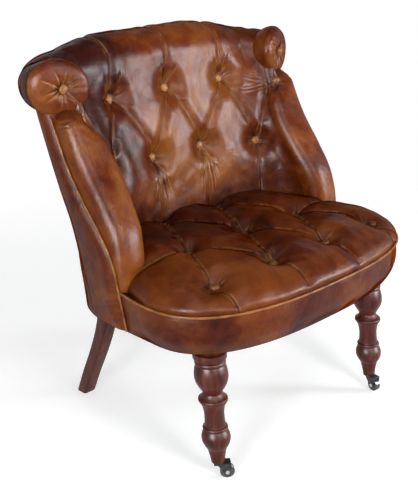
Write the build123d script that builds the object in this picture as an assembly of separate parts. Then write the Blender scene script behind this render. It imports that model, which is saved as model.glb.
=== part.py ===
from build123d import *
import math
import os

os.makedirs("parts", exist_ok=True)

# A low chesterfield easy chair: a tub back with a rolled top and scroll ends, a crowned and
# buttoned seat, turned front legs on swivel casters and square sabre rear legs.
# The sitter faces -Y. The origin is the middle of the chair's footprint, on the floor.

# Clearances, and heights above the floor: the frame hangs down from the seat's seam
fit = 0.3
joint = 0.1
seam_height = 348.0
frame_drop = 12.0
rail_height = 61.5
apron_drop = 4.5
rail_top = seam_height - frame_drop
rail_bottom = rail_top - rail_height
apron_bottom = rail_bottom - apron_drop
seat_crown = 54.0
pad_lift = 14.0
pad_bottom = seam_height + pad_lift
back_top = 662.0

# Plan of the back, from the outside cover to the buttoned inside
back_half_width = 321.0
back_rear_bottom = 176.0
back_rear_rise = 47.0
back_square_bottom = 3.0
back_square_top = 2.2
inside_half_width = 256.0
inside_depth = 121.0
inside_lean = 42.0
inside_square = 2.35
wing_side_run = 22.0
wing_side_tuck = 7.5
wing_bottom_y = -44.0
wing_rake = 187.0
facing_bulge = 54.0
facing_nose_inset = 46.0
inside_lead = 35.0

# One row a level, as shares: height, wing rake, facing bulge, inside width, inside lead, inside lean
level_shares = (
    (0.000, 0.000, 0.17, 0.977, 1.00, 0.00),
    (0.205, 0.061, 0.29, 0.973, 0.71, 0.00),
    (0.362, 0.147, 0.46, 0.947, 0.44, 0.01),
    (0.463, 0.294, 0.77, 0.922, 0.00, 0.07),
    (0.590, 0.521, 0.96, 0.896, -0.34, 0.17),
    (0.742, 0.743, 0.91, 0.895, -0.51, 0.40),
    (0.881, 0.885, 0.84, 0.939, -0.59, 0.71),
    (1.000, 1.000, 0.78, 1.000, -0.63, 1.00),
)
low_width_shares = (0.972, 0.991, 1.0)

# Plan and crown of the seat
seat_half_width = 319.0
seat_middle_y = -116.0
seat_front_depth = 168.0
seat_square = 2.6
apron_tuck = 15.0
apron_swell = 2.5
seat_rear_y = 128.0
crown_inset = 92.0
crown_shares = ((0.0, 0.0), (0.17, -0.01), (0.37, 0.07), (0.56, 0.22), (0.73, 0.43), (0.88, 0.70),
                (1.0, 1.0))
apron_shares = ((0.0, 1.0, 0.0), (0.32, 0.20, 1.0), (0.64, 0.0, 1.0), (1.0, 0.0, 0.0))

# Frame
cover_thick = 2.5
rail_inset = 9.5
rail_thick = 18.0
rail_split_front_y = -120.0
rail_split_rear_y = 40.0
post_width = 26.0
post_x = 132.5
wing_post_width = 20.0
wing_post_depth = 24.0
wing_post_inset = 24.0
wing_post_back = 16.0
wing_post_top = 624.0
top_rail_bottom = 624.5
top_rail_top = 668.0
top_rail_inset = 6.0

# Upholstery layers
pad_thick = 30.0
webbing_thick = 2.0
webbing_width = 50.0
webbing_heights = (415.0, 495.0, 575.0)
webbing_reach = 34.0
foam_lift = 30.0
foam_bottom = pad_bottom + foam_lift
foam_top = 618.0
pad_top = 694.0
seat_foam_rise = 20.0
seat_foam_top = seam_height + seat_foam_rise
seat_foam_inset = 78.0
seat_foam_rear_y = 30.0
burlap_thick = 1.5
burlap_inset = 9.0
dust_cover_thick = 1.0
dust_cover_drop = 1.8
dust_cover_inset = 10.0
piping_radius = 2.6
wing_piping_top = 640.0
tuck_gap = 1.0

# Rolled top and its scroll ends
roll_half_width = 292.0
roll_end_y = 154.0
roll_rear_y = 230.0
roll_corner = 62.0
roll_height = 706.0
roll_end_drop = 13.0
roll_radius = 58.0
roll_end_radius = 47.0
roll_blend = 0.36
roll_stations = 28
scroll_dome = 42.0
scroll_shoulder_share = 0.86
scroll_pleats = 10
scroll_button_sink = 8.0
scroll_dimple_rim = 24.0
scroll_dimple_depth = 14.0
scroll_pleat_half = 5.0
scroll_pleat_depth = 12.0

# Buttons, dimples and pleats
button_radius = 9.5
button_edge = 1.5
button_dome = 5.0
dimple_floor = 11.5
dimple_rim = 36.0
dimple_depth = 34.0
pleat_half = 15.0
pleat_depth = 30.0
pleat_end_depth = 7.0
tuft_depth = 19.0
upper_button_height = 652.0
upper_button_pitch = 149.0
upper_outer_x = 240.0
swell_shares = (0.14, 0.62)
upper_outer_height = 632.0
lower_button_height = 521.0
lower_button_pitch = 132.0
lower_outer_height = 514.0
back_pleat_lift = 36.0
back_pleat_bottom = pad_bottom + back_pleat_lift
back_pleat_top = 690.0
roll_pull = 3.5
roll_pleat_stations = (2, 8, 14, 20, 26)
seat_button_pitch = 152.0
seat_button_lift = 31.0
seat_button_height = seam_height + seat_button_lift
seat_row_front_y = -195.0
seat_row_step = 145.0
seat_pleat_lift = 43.0
seat_pleat_height = seam_height + seat_pleat_lift
seat_pleat_shoulder_y = -252.0
seat_pleat_shoulder_lift = 29.0
seat_pleat_shoulder_height = seam_height + seat_pleat_shoulder_lift
seat_pleat_side_x = 246.0

# Seat springs
spring_wire = 1.7
spring_bars = 16
spring_bar_half = 15.0
spring_spacing = 88.0
clip_length = 12.0
clip_width = 12.0
clip_height = 5.5

# Front legs, turned: (height, radius) outline values
front_leg_x = 234.0
front_leg_top_y = -183.0
front_leg_foot_y = -204.0
leg_in_rail = 10.0
front_leg_top = rail_bottom + leg_in_rail
front_leg_foot = 35.2
leg_shank = 24.0
leg_shank_room = 1.6
leg_collar = 31.0
leg_ring = 28.5
leg_vase = 31.2
leg_neck = 17.4
leg_second_collar = 27.0
leg_waist = 19.7
leg_bead = 22.6
leg_bulb = 27.0
leg_ankle = 18.6
leg_tip = 12.8
collar_top_share = 0.8937
collar_bottom_share = 0.8375
ring_share = 0.8075
neck_share = 0.5648
second_collar_share = 0.5126
bead_share = 0.2840
ankle_share = 0.1155

# Rear legs, square and curved: the centre line in (height, distance to the rear)
rear_leg_top_x = 208.0
rear_leg_foot_x = 206.0
rear_leg_top_half = 16.5
rear_leg_foot_half = 14.5
rear_leg_top = rail_bottom - 2.0 * joint
rear_leg_top_y = 126.0
rear_leg_sweep = 110.0
rear_bolt_offset = 5.0
rear_leg_shares = ((1.0, 0.0), (0.82, 0.10), (0.63, 0.25), (0.44, 0.46), (0.22, 0.74), (0.0, 1.0))

# Corner blocks and fasteners
block_length = 76.0
block_width = 66.0
block_height = 45.0
rear_block_x = 190.0
rear_block_y = 92.0
leg_bolt_radius = 4.0
leg_bolt_length = 74.0
block_screw_radius = 2.2
block_screw_length = 52.0
block_screw_head_radius = 4.2
block_screw_head = 2.4
block_screw_spread = 21.0
block_screw_start = 24.0

# Casters
wheel_radius = 14.0
wheel_width = 12.0
caster_trail = 17.0
left_trail_angle = -40.0
right_trail_angle = -100.0
cheek_thick = 2.5
cheek_gap = 0.5
cheek_radius = 6.5
axle_radius = 2.4
axle_head_radius = 3.6
axle_head = 1.2
running = 0.05
fork_top = 33.2
fork_plate = 4.0
fork_back = 8.0
stem_radius = 3.9
stem_top = 59.0
socket_radius = 5.6
socket_top = 61.0
socket_flange_radius = 10.5
socket_flange = 1.6

# The upholstery is deeper in front than behind the middle, so the export centres the chair
seat_front = seat_front_depth - seat_middle_y + cover_thick + 2.0 * piping_radius
centre_shift = (seat_front - roll_rear_y - roll_radius) / 2.0


def save(shape, name):
    export_step(Pos(0, centre_shift, 0) * shape, "parts/" + name + ".step")


def blend(low, high, share):
    return low + (high - low) * share


def superellipse(half, middle, depth, power, angle):
    """A point of a rounded-square outline, with the angle measured from +X."""
    run = abs(math.cos(angle)) ** (2.0 / power)
    rise = abs(math.sin(angle)) ** (2.0 / power)
    return (math.copysign(half * run, math.cos(angle)), middle + depth * rise)


def bow(first, middle, last):
    """An arc through three points, or a straight edge where they lie in line."""
    straight = (middle - first).cross(last - first).length < joint * (last - first).length / 10.0
    return Edge.make_line(first, last) if straight else Edge.make_three_point_arc(first, middle, last)


def arcs(points, z):
    """Three-point arcs through every second point."""
    at = [Vector(x, y, z) for x, y in points]
    return [bow(at[i], at[i + 1], at[i + 2]) for i in range(0, len(at) - 2, 2)]


def chord(first, last, z):
    return Edge.make_line(Vector(first[0], first[1], z), Vector(last[0], last[1], z))


def plan_face(z, *chains):
    """A level face bounded by chains of points: three or more make arcs, and gaps close with lines."""
    edges = []
    for k, chain in enumerate(chains):
        edges += arcs(chain, z) if len(chain) > 2 else [chord(chain[0], chain[1], z)]
        ahead = chains[(k + 1) % len(chains)][0]
        if math.dist(chain[-1], ahead) > joint / 10.0:
            edges.append(chord(chain[-1], ahead, z))
    return Face(Wire(edges))


def level(z):
    """The plan values of the back at a height: a dictionary worked out from the share table."""
    share = (z - apron_bottom) / (back_top - apron_bottom)
    rows = level_shares
    i = max(k for k in range(len(rows) - 1) if rows[k][0] <= share or k == 0)
    part = (share - rows[i][0]) / (rows[i + 1][0] - rows[i][0])
    rake, bulge, width, lead, lean = (blend(rows[i][k], rows[i + 1][k], part) for k in range(1, 6))
    widths = low_width_shares
    width_share = blend(widths[min(i, 2)], widths[min(i + 1, 2)], part)
    outer = back_half_width * width_share
    wing_y = wing_bottom_y + wing_rake * rake
    return {
        "outer": outer,
        "edge": outer - wing_side_tuck,
        "wing_y": wing_y,
        "side_y": wing_y + wing_side_run,
        "rear_y": back_rear_bottom + back_rear_rise * share,
        "square": blend(back_square_bottom, back_square_top, share),
        "nose_x": outer - facing_nose_inset,
        "nose_y": wing_y - facing_bulge * bulge,
        "inner": inside_half_width * width,
        "inner_y": wing_y + inside_lead * lead,
        "inner_rear": inside_depth + inside_lean * lean,
    }


def outer_points(z, inset, reach=0.0):
    """The outside of the back in plan, from the left wing edge round to the right one."""
    at = level(z)
    half = at["outer"] - inset
    depth = at["rear_y"] - inset - at["side_y"]
    turns = [math.radians(180.0 - reach - (180.0 - 2.0 * reach) * k / 8.0) for k in range(9)]
    curve = [superellipse(half, at["side_y"], depth, at["square"], turn) for turn in turns]
    if reach:
        return curve
    edge = (-(at["edge"] - inset), at["wing_y"])
    bend = (-(half - wing_side_tuck * 0.3), blend(at["wing_y"], at["side_y"], 0.45))
    return [edge, bend] + curve + [(-bend[0], bend[1]), (-edge[0], edge[1])]


def inner_points(z, inset, reach=0.0, lift=0.0):
    """The buttoned inside of the back in plan, from the left wing to the right one."""
    at = level(z)
    depth = at["inner_rear"] + inset - at["inner_y"] - lift
    turns = [math.radians(180.0 - reach - (180.0 - 2.0 * reach) * k / 8.0) for k in range(9)]
    return [superellipse(at["inner"] + inset, at["inner_y"] + lift, depth, inside_square, turn)
            for turn in turns]


def ring_section(front, rear, z):
    """A closed face between a front and a rear outline that both run from left to right."""
    return plan_face(z, front, list(reversed(rear)))


def back_levels(low, high):
    """The heights of the level table between two heights, with both ends."""
    span = back_top - apron_bottom
    middle = [apron_bottom + span * row[0] for row in level_shares]
    margin = span / 40.0
    return [low] + [z for z in middle if low + margin < z < high - margin] + [high]


def band(low, high, front_inset, rear_inset, reach=0.0):
    """A curved board or sheet that follows the outside of the back."""
    faces = []
    for z in back_levels(low, high):
        faces.append(ring_section(outer_points(z, front_inset, reach),
                outer_points(z, rear_inset, reach), z))
    return loft(faces)


def roll_spot(run):
    """The roll's axis at a share of its length from the right end: a corner arc, then a flat arc."""
    corner_x = roll_half_width - roll_corner
    depth = roll_rear_y - roll_end_y
    flat = (corner_x ** 2 + depth ** 2 - roll_corner ** 2) / (2.0 * (depth - roll_corner))
    meet = math.atan2(flat - depth, corner_x)
    half = roll_corner * meet + flat * (math.pi / 2.0 - meet)
    hand = 1.0 if run <= 0.5 else -1.0
    way = 2.0 * half * min(run, 1.0 - run)
    if way < roll_corner * meet:
        turn = way / roll_corner
        spot = (corner_x + roll_corner * math.cos(turn), roll_end_y + roll_corner * math.sin(turn))
    else:
        turn = meet + (way - roll_corner * meet) / flat
        spot = (flat * math.cos(turn), roll_rear_y - flat + flat * math.sin(turn))
    return hand * spot[0], spot[1], Vector(-math.sin(turn), hand * math.cos(turn), 0)


def roll_plane(k):
    """The station k of the roll: the plane across it, and its radius there."""
    run = k / roll_stations
    x, y, direction = roll_spot(run)
    share = min(1.0, min(run, 1.0 - run) / roll_blend)
    eased = math.sin(share * math.pi / 2.0)
    z = roll_height - roll_end_drop * (1.0 - eased)
    pull = roll_pull if k in roll_pleat_stations else 0.0
    radius = blend(roll_end_radius, roll_radius, eased) - pull
    return Plane(origin=(x, y, z), x_dir=(0, 0, 1), z_dir=direction), radius


def disc(plane, radius):
    """A round face made of four arcs, so that every station starts at the same place."""
    spots = [plane.from_local_coords((radius * math.cos(a), radius * math.sin(a), 0))
             for a in (math.pi * k / 4.0 for k in range(9))]
    return Face(Wire([Edge.make_three_point_arc(spots[i], spots[i + 1], spots[i + 2])
                      for i in (0, 2, 4, 6)]))


def roll_body(grow):
    faces = []
    for k in range(roll_stations + 1):
        plane, radius = roll_plane(k)
        faces.append(disc(plane, radius + grow))
    return loft(faces)


def scroll_dome_body(side, grow):
    """The domed end of the roll, turned about the roll's own axis."""
    radius = roll_end_radius + grow
    height = scroll_dome + grow
    shoulder = (radius * scroll_shoulder_share, height * 0.62)
    crest = (radius * 0.45, height * 0.93)
    half = (radius * 0.975, height * 0.30)
    outline = [Edge.make_three_point_arc((radius, 0), half, shoulder),
               Edge.make_three_point_arc(shoulder, crest, (0, height)),
               Edge.make_line((0, height), (0, 0)),
               Edge.make_line((0, 0), (radius, 0))]
    turned = revolve(Face(Wire(outline)), Axis.Y, 360)
    place = Location((side * roll_half_width, roll_end_y - fit, roll_height - roll_end_drop), (180, 0, 0))
    return place * turned


def button(point, normal):
    """A leather-covered button: a short edge and a domed face."""
    top = button_edge + button_dome
    sphere = (button_radius ** 2 + button_dome ** 2) / (2.0 * button_dome)
    middle = math.asin(button_radius / sphere) / 2.0
    bulge = (sphere * math.sin(middle), 0, top - sphere + sphere * math.cos(middle))
    edges = [Edge.make_line((0, 0, 0), (button_radius, 0, 0)),
             Edge.make_line((button_radius, 0, 0), (button_radius, 0, button_edge)),
             Edge.make_three_point_arc((button_radius, 0, button_edge), bulge, (0, 0, top)),
             Edge.make_line((0, 0, top), (0, 0, 0))]
    turned = revolve(Face(Wire(edges)), Axis.Z, 360)
    return Plane(origin=point + normal * fit, z_dir=normal).location * turned


def dimple(point, normal):
    """The hollow that a button pulls into the padding, widening from its flat floor."""
    return Solid.make_cone(dimple_floor, dimple_rim, dimple_depth, Plane(origin=point, z_dir=normal))


def pleat(first, last, normal, half, depth):
    """A V-shaped fold between two points of its bottom line."""
    along = (last - first).normalized()
    across = along.cross(normal).normalized()
    faces = []
    for spot in (first, last):
        corners = [spot, spot + across * half + normal * depth, spot - across * half + normal * depth]
        faces.append(Face(Wire.make_polygon(corners, close=True)))
    return loft(faces)


def cut_all(body, tools):
    for tool in tools:
        body = body - tool
    return body


def largest(shape):
    return max(shape.solids(), key=lambda solid: solid.volume)


# Seat outline, apron, rails and cushion
def seat_points(inset):
    """The front of the seat in plan, from the left side round to the right one."""
    turns = [math.radians(180.0 + 180.0 * k / 12.0) for k in range(13)]
    points = []
    for turn in turns:
        x, rise = superellipse(seat_half_width - inset, 0, seat_front_depth - inset, seat_square, turn)
        points.append((x, seat_middle_y - rise))
    return points


def apron_points(inset, z):
    """The seat outline, run on to the wing piping on both sides."""
    at = level(z)
    end = (-(at["edge"] - fit), at["wing_y"] - fit)
    bend = (-(seat_half_width - inset), blend(seat_middle_y, end[1], 0.5))
    return [end, bend] + seat_points(inset) + [(-bend[0], bend[1]), (-end[0], end[1])]


def apron_back_points(z):
    """The inner face of the apron, against the rails and up to the wing line."""
    end_y = level(z)["wing_y"] - fit
    bend_y = blend(seat_middle_y, end_y, 0.5)
    sides = [(rail_side_x(y) + fit, y) for y in (bend_y, end_y)]
    return ([(-sides[1][0], end_y), (-sides[0][0], bend_y)]
            + seat_points(apron_tuck + rail_inset - fit) + sides)


def slab(points, rear, low, high):
    """A flat layer with the seat outline in front and a straight rear edge."""
    corners = [(points[-1][0], rear), (points[0][0], rear)]
    return extrude(plan_face(low, points, corners), high - low, dir=(0, 0, 1))


def half_outline(inset, z):
    """One closed plan of the rail frame at a given inset from the apron's bottom edge."""
    front = seat_points(apron_tuck + inset)
    rear = outer_points(apron_bottom, inset)[2:-2]
    return plan_face(z, front, list(reversed(rear)))


def rail_side_x(y):
    """The outer face of the side rails, which run straight from the seat's widest line to the back's."""
    at = level(apron_bottom)
    share = (y - seat_middle_y) / (at["side_y"] - seat_middle_y)
    return blend(seat_half_width - apron_tuck - rail_inset, at["outer"] - rail_inset, share)


def frame_layer(low, high, inset):
    return extrude(half_outline(inset, low), high - low, dir=(0, 0, 1))


def slice_y(shape, low_y, high_y):
    reach = 4.0 * back_half_width
    middle = (low_y + high_y) / 2.0
    return shape & (Pos(0, middle, seam_height) * Box(reach, high_y - low_y, reach))


# The rail frame: one ring of boards, split into four at the corners
def make_rails():
    ring = frame_layer(rail_bottom, rail_top, rail_inset)
    ring = ring - frame_layer(rail_bottom, rail_top, rail_inset + rail_thick)
    reach = 2.0 * back_half_width
    front = slice_y(ring, -reach, rail_split_front_y - joint)
    rear = slice_y(ring, rail_split_rear_y + joint, reach)
    sides = slice_y(ring, rail_split_front_y, rail_split_rear_y).solids()
    left = min(sides, key=lambda solid: solid.center().X)
    right = max(sides, key=lambda solid: solid.center().X)
    return largest(front), left, right, largest(rear)


def bolt_hole(x, y, low, high, radius):
    return Pos(x, y, (low + high) / 2.0) * Cylinder(radius, high - low)


def block_at(x, y):
    return Pos(x, y, front_leg_top + block_height / 2.0) * Box(block_width, block_length, block_height)


# A leg's place and slope: the front legs rake forward towards the foot
leg_slope = (front_leg_top_y - front_leg_foot_y) / (front_leg_top - front_leg_foot)


def leg_axis_y(z):
    return front_leg_foot_y + leg_slope * (z - front_leg_foot)


def leg_height_at(share):
    return blend(front_leg_foot, front_leg_top, share)


def turned_leg():
    """The turned front leg about the Z axis, from its tip to the shank under the block."""
    collar_top, collar_bottom = leg_height_at(collar_top_share), leg_height_at(collar_bottom_share)
    ring_height, second_collar_height = leg_height_at(ring_share), leg_height_at(second_collar_share)
    bead_height = leg_height_at(bead_share)
    slow = [(0, front_leg_foot), (leg_tip, front_leg_foot)]
    edges = [Edge.make_line((slow[0][0], 0, slow[0][1]), (slow[1][0], 0, slow[1][1]))]

    def line(first, last):
        edges.append(Edge.make_line((first[0], 0, first[1]), (last[0], 0, last[1])))

    def curve(first, swell, last):
        middle = ((first[0] + last[0]) / 2.0 + swell, (first[1] + last[1]) / 2.0)
        edges.append(Edge.make_three_point_arc((first[0], 0, first[1]), (middle[0], 0, middle[1]),
                (last[0], 0, last[1])))

    tip = (leg_tip, front_leg_foot)
    ankle = (leg_ankle, leg_height_at(ankle_share))
    bulb_top = (leg_bead * 0.92, bead_height - leg_bead * 0.14)
    bead_top = (leg_waist, bead_height + leg_bead * 0.16)
    second_bottom = (leg_second_collar * 0.93, second_collar_height - leg_second_collar * 0.18)
    second_top = (leg_second_collar * 0.9, second_collar_height + leg_second_collar * 0.14)
    neck = (leg_neck, leg_height_at(neck_share))
    vase_top = (leg_ring * 0.93, ring_height - leg_ring * 0.14)
    ring_top = (leg_ring * 0.95, ring_height + leg_ring * 0.13)
    collar_low = (leg_collar, collar_bottom + leg_collar * 0.05)
    collar_high = (leg_collar, collar_top - leg_collar * 0.06)
    shank_low = (leg_shank, collar_top)
    shank_high = (leg_shank, front_leg_top)
    curve(tip, leg_tip * 0.10, ankle)
    curve(ankle, leg_bulb - (ankle[0] + bulb_top[0]) / 2.0, bulb_top)
    curve(bulb_top, leg_bead * 0.11, bead_top)
    curve(bead_top, -leg_waist * 0.07, second_bottom)
    curve(second_bottom, leg_second_collar * 0.08, second_top)
    line(second_top, neck)
    curve(neck, leg_vase - (neck[0] + vase_top[0]) / 2.0, vase_top)
    curve(vase_top, leg_ring * 0.05, ring_top)
    line(ring_top, collar_low)
    line(collar_low, collar_high)
    line(collar_high, shank_low)
    line(shank_low, shank_high)
    line(shank_high, (0, front_leg_top))
    line((0, front_leg_top), (0, front_leg_foot))
    return revolve(Face(Wire(edges)), Axis.Z, 360)


def front_leg(side):
    """The turned leg leaned on its rake, with level cuts at the caster and at the block."""
    lean = math.degrees(math.atan(leg_slope))
    turned = Pos(0, 0, -front_leg_foot) * turned_leg()
    leaned = Pos(side * front_leg_x, front_leg_foot_y, front_leg_foot) * (Rot(-lean, 0, 0) * turned)
    trim = Pos(0, 0, (front_leg_foot + front_leg_top) / 2.0)
    span = front_leg_top - front_leg_foot
    level_box = (Pos(side * front_leg_x, front_leg_foot_y, 0)
                 * (trim * Box(8.0 * leg_collar, 8.0 * leg_collar, span)))
    leg = leaned & level_box
    bolt_y = leg_axis_y(front_leg_top)
    bore = bolt_hole(side * front_leg_x, bolt_y, front_leg_top - leg_bolt_length / 2.0, front_leg_top,
            leg_bolt_radius + joint)
    socket = bolt_hole(side * front_leg_x, front_leg_foot_y, front_leg_foot, socket_top + joint,
            socket_radius + joint)
    return largest(leg - bore - socket)


def rear_leg(side):
    """The sabre leg: square sections along a backward curve."""
    faces = []
    for height_share, sweep_share in rear_leg_shares:
        half = blend(rear_leg_foot_half, rear_leg_top_half, height_share)
        x = side * blend(rear_leg_foot_x, rear_leg_top_x, height_share)
        y = rear_leg_top_y + rear_leg_sweep * sweep_share
        z = rear_leg_top * height_share
        corners = [(x - half, y - half, z), (x + half, y - half, z), (x + half, y + half, z),
                (x - half, y + half, z)]
        faces.append(Face(Wire.make_polygon([Vector(*corner) for corner in corners], close=True)))
    leg = loft(faces)
    low = rear_leg_top - leg_bolt_length / 2.0
    bore = bolt_hole(side * rear_leg_top_x, rear_leg_top_y + rear_bolt_offset, low, rear_leg_top,
            leg_bolt_radius + joint)
    return largest(leg - bore)


# Casters: each is worked out at the leg's foot, with its trail along +X, and then turned
def caster_place(side, angle):
    return Location((side * front_leg_x, front_leg_foot_y, 0), (0, 0, angle))


def caster_socket(side):
    x, y = side * front_leg_x, front_leg_foot_y
    flange_low = front_leg_foot - socket_flange
    tube = bolt_hole(x, y, flange_low, socket_top, socket_radius)
    flange = bolt_hole(x, y, flange_low, front_leg_foot, socket_flange_radius)
    bore = bolt_hole(x, y, flange_low, stem_top + joint, stem_radius + running)
    return tube + flange - bore


def caster_fork(side, angle):
    """The horn: a top plate with the swivel stem, and two cheeks that hold the axle."""
    half = wheel_width / 2.0 + cheek_gap
    plate_low = fork_top - fork_plate
    length = fork_back + caster_trail + cheek_radius
    across = 2.0 * (half + cheek_thick)
    plate = Pos(length / 2.0 - fork_back, 0, fork_top - fork_plate / 2.0) * Box(length, across, fork_plate)
    stem = Pos(0, 0, (fork_top + stem_top) / 2.0) * Cylinder(stem_radius, stem_top - fork_top)
    disc_top = Pos(0, 0, fork_top - fork_plate / 2.0) * Cylinder(across / 2.0, fork_plate)
    wheel_room = (Pos(caster_trail, 0, wheel_radius)
                  * (Rot(90, 0, 0) * Cylinder(wheel_radius + cheek_gap, 2.0 * half)))
    body = plate + stem + disc_top
    for hand in (-1, 1):
        outline = [(caster_trail - cheek_radius, wheel_radius),
                   (-fork_back * 0.3, plate_low + fork_plate / 2.0),
                   (caster_trail + cheek_radius, plate_low + fork_plate / 2.0),
                   (caster_trail + cheek_radius, wheel_radius)]
        spots = [Vector(x, 0, z) for x, z in outline]
        web = extrude(Face(Wire.make_polygon(spots, close=True)), cheek_thick, dir=(0, hand, 0))
        round_end = (Pos(caster_trail, hand * cheek_thick / 2.0, wheel_radius)
                     * (Rot(90, 0, 0) * Cylinder(cheek_radius, cheek_thick)))
        body = body + Pos(0, hand * half, 0) * (web + round_end)
    axle_hole = (Pos(caster_trail, 0, wheel_radius)
                 * (Rot(90, 0, 0) * Cylinder(axle_radius + joint, 2.0 * across)))
    return caster_place(side, angle) * largest(body - wheel_room - axle_hole)


def caster_axle(side, angle):
    half = wheel_width / 2.0 + cheek_gap + cheek_thick
    pin = Cylinder(axle_radius, 2.0 * half)
    heads = [Pos(0, 0, hand * (half + axle_head / 2.0)) * Cylinder(axle_head_radius, axle_head)
             for hand in (-1, 1)]
    turned = Rot(90, 0, 0) * (pin + heads[0] + heads[1])
    return caster_place(side, angle) * (Pos(caster_trail, 0, wheel_radius) * turned)


def caster_wheel(side, angle):
    rim = fillet(Cylinder(wheel_radius, wheel_width).edges(), wheel_width * 0.16)
    wheel = rim - Cylinder(axle_radius + running, 2.0 * wheel_width)
    return caster_place(side, angle) * (Pos(caster_trail, 0, wheel_radius) * (Rot(90, 0, 0) * wheel))


# Springs: zigzag wires whose end bars lie in clips on the front and rear rails
def rail_middle_front(x):
    inset = apron_tuck + rail_inset + rail_thick / 2.0
    share = abs(x) / (seat_half_width - inset)
    return seat_middle_y - (seat_front_depth - inset) * (1.0 - share ** seat_square) ** (1.0 / seat_square)


def rail_middle_rear(x):
    at = level(apron_bottom)
    inset = rail_inset + rail_thick / 2.0
    share = abs(x) / (at["outer"] - inset)
    depth = at["rear_y"] - inset - at["side_y"]
    return at["side_y"] + depth * (1.0 - share ** at["square"]) ** (1.0 / at["square"])


def spring(x):
    front_y, rear_y = rail_middle_front(x), rail_middle_rear(x)
    step = (rear_y - front_y) / spring_bars
    z = rail_top + spring_wire + joint
    hand = 1.0
    edges = [Edge.make_line((x, front_y, z), (x + hand * spring_bar_half, front_y, z))]
    for k in range(spring_bars):
        y = front_y + step * k
        turn_x = x + hand * spring_bar_half
        middle = (turn_x + hand * step / 2.0, y + step / 2.0, z)
        edges.append(Edge.make_three_point_arc((turn_x, y, z), middle, (turn_x, y + step, z)))
        hand = -hand
        last_x = x if k == spring_bars - 1 else x + hand * spring_bar_half
        edges.append(Edge.make_line((turn_x, y + step, z), (last_x, y + step, z)))
    section = Plane(origin=(x, front_y, z), z_dir=(1, 0, 0)) * Circle(spring_wire)
    return sweep(section, path=Wire(edges))


def clip(x, y):
    plate = Pos(x, y, rail_top + clip_height / 2.0) * Box(clip_width, clip_length, clip_height)
    wire_z = rail_top + spring_wire + joint
    channel = Pos(x, y, wire_z) * (Rot(0, 90, 0) * Cylinder(spring_wire + joint, 2.0 * clip_width))
    mouth = Pos(x, y, rail_top) * Box(2.0 * clip_width, 2.0 * (spring_wire + joint),
            2.0 * (spring_wire + joint))
    return plate - channel - mouth


# The buttoned inside of the back
def inside_y(x, z):
    at = level(z)
    share = min(abs(x) / at["inner"], 0.999)
    depth = at["inner_rear"] - at["inner_y"]
    return at["inner_y"] + depth * (1.0 - share ** inside_square) ** (1.0 / inside_square)


def inside_spot(x, z, depth):
    """A point under the inside surface of the back, and the direction out of it towards the sitter."""
    step = button_edge
    slope_x = (inside_y(x + step, z) - inside_y(x - step, z)) / (2.0 * step)
    slope_z = (inside_y(x, z + step) - inside_y(x, z - step)) / (2.0 * step)
    normal = Vector(slope_x, -1, slope_z).normalized()
    return Vector(x, inside_y(x, z), z) - normal * depth, normal


def flank_spot(side, z, depth):
    """A point under the inner flank of a wing's facing, and the direction out of it."""
    at = level(z)
    start, nose = Vector(at["inner"], at["inner_y"], z), Vector(at["nose_x"], at["nose_y"], z)
    swell = Vector(blend(start.X, nose.X, swell_shares[0]), blend(start.Y, nose.Y, swell_shares[1]), z)
    first, second = (swell - start).normalized(), (nose - start).normalized()
    along = (first + second).normalized()
    normal = Vector(side * along.Y, -along.X, 0)
    return Vector(side * swell.X, swell.Y, z) - normal * depth, normal


def tuft_spot(x, z):
    """Where a button of the back sits: the outer upper ones are in the wings."""
    if abs(x) < upper_outer_x:
        return inside_spot(x, z, tuft_depth)
    return flank_spot(math.copysign(1, x), z, tuft_depth)


def back_button_spots():
    upper = [(-upper_outer_x, upper_outer_height), (-upper_button_pitch, upper_button_height),
            (0, upper_button_height)]
    lower = [(-1.5 * lower_button_pitch, lower_outer_height),
            (-0.5 * lower_button_pitch, lower_button_height)]
    upper += [(-x, z) for x, z in reversed(upper[:2])]
    lower += [(-x, z) for x, z in reversed(lower)]
    return upper, lower


def back_tufts():
    """The dimples and folds of the back, and its buttons."""
    upper, lower = back_button_spots()
    dimples, buttons, folds = [], [], []
    for x, z in upper + lower:
        spot, normal = tuft_spot(x, z)
        dimples.append(dimple(spot, normal))
        buttons.append(button(spot, normal))
    for k, (x, z) in enumerate(lower):
        spot, normal = tuft_spot(x, z)
        for near_x, near_z in (upper[k], upper[k + 1]):
            near, near_normal = tuft_spot(near_x, near_z)
            folds.append(pleat(spot, near, (normal + near_normal).normalized(), pleat_half, pleat_depth))
        foot, foot_normal = inside_spot(x, back_pleat_bottom, pleat_end_depth)
        folds.append(pleat(spot, foot, (normal + foot_normal).normalized(), pleat_half, pleat_depth))
    for x, z in upper:
        spot, normal = tuft_spot(x, z)
        head, head_normal = inside_spot(x, back_pleat_top, pleat_end_depth)
        folds.append(pleat(spot, head, (normal + head_normal).normalized(), pleat_half, pleat_depth))
    return dimples + folds, buttons


def inside_back():
    faces = [ring_section(inner_points(z, 0), inner_points(z, pad_thick), z)
             for z in back_levels(pad_bottom, pad_top)]
    return loft(faces)


def wing_facing(side):
    """The convex pad on the front edge of a wing, drawn in to a wedge at the seat."""
    faces = []
    for z in back_levels(seam_height + fit, back_top):
        at = level(z)
        edge, nose, inner = ((at["edge"], at["wing_y"]), (at["nose_x"], at["nose_y"]),
                             (at["inner"], at["inner_y"]))
        outer_swell = (blend(edge[0], nose[0], 0.12), blend(edge[1], nose[1], 0.62))
        inner_swell = (blend(inner[0], nose[0], swell_shares[0]), blend(inner[1], nose[1], swell_shares[1]))
        back_x = inner[0] + pad_thick + fit
        chord_y = blend(inner[1], edge[1], (back_x - inner[0]) / (edge[0] - inner[0]))
        corner = (back_x, min(chord_y, inner[1] - fit))
        start = (inner[0], inner[1] - fit)
        front = [(side * x, y) for x, y in (edge, outer_swell, nose, inner_swell, start)]
        rear = [(side * x, y) for x, y in (start, corner, edge)]
        faces.append(plan_face(z, front, rear[:2], rear[1:]))
    return loft(faces)


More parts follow.
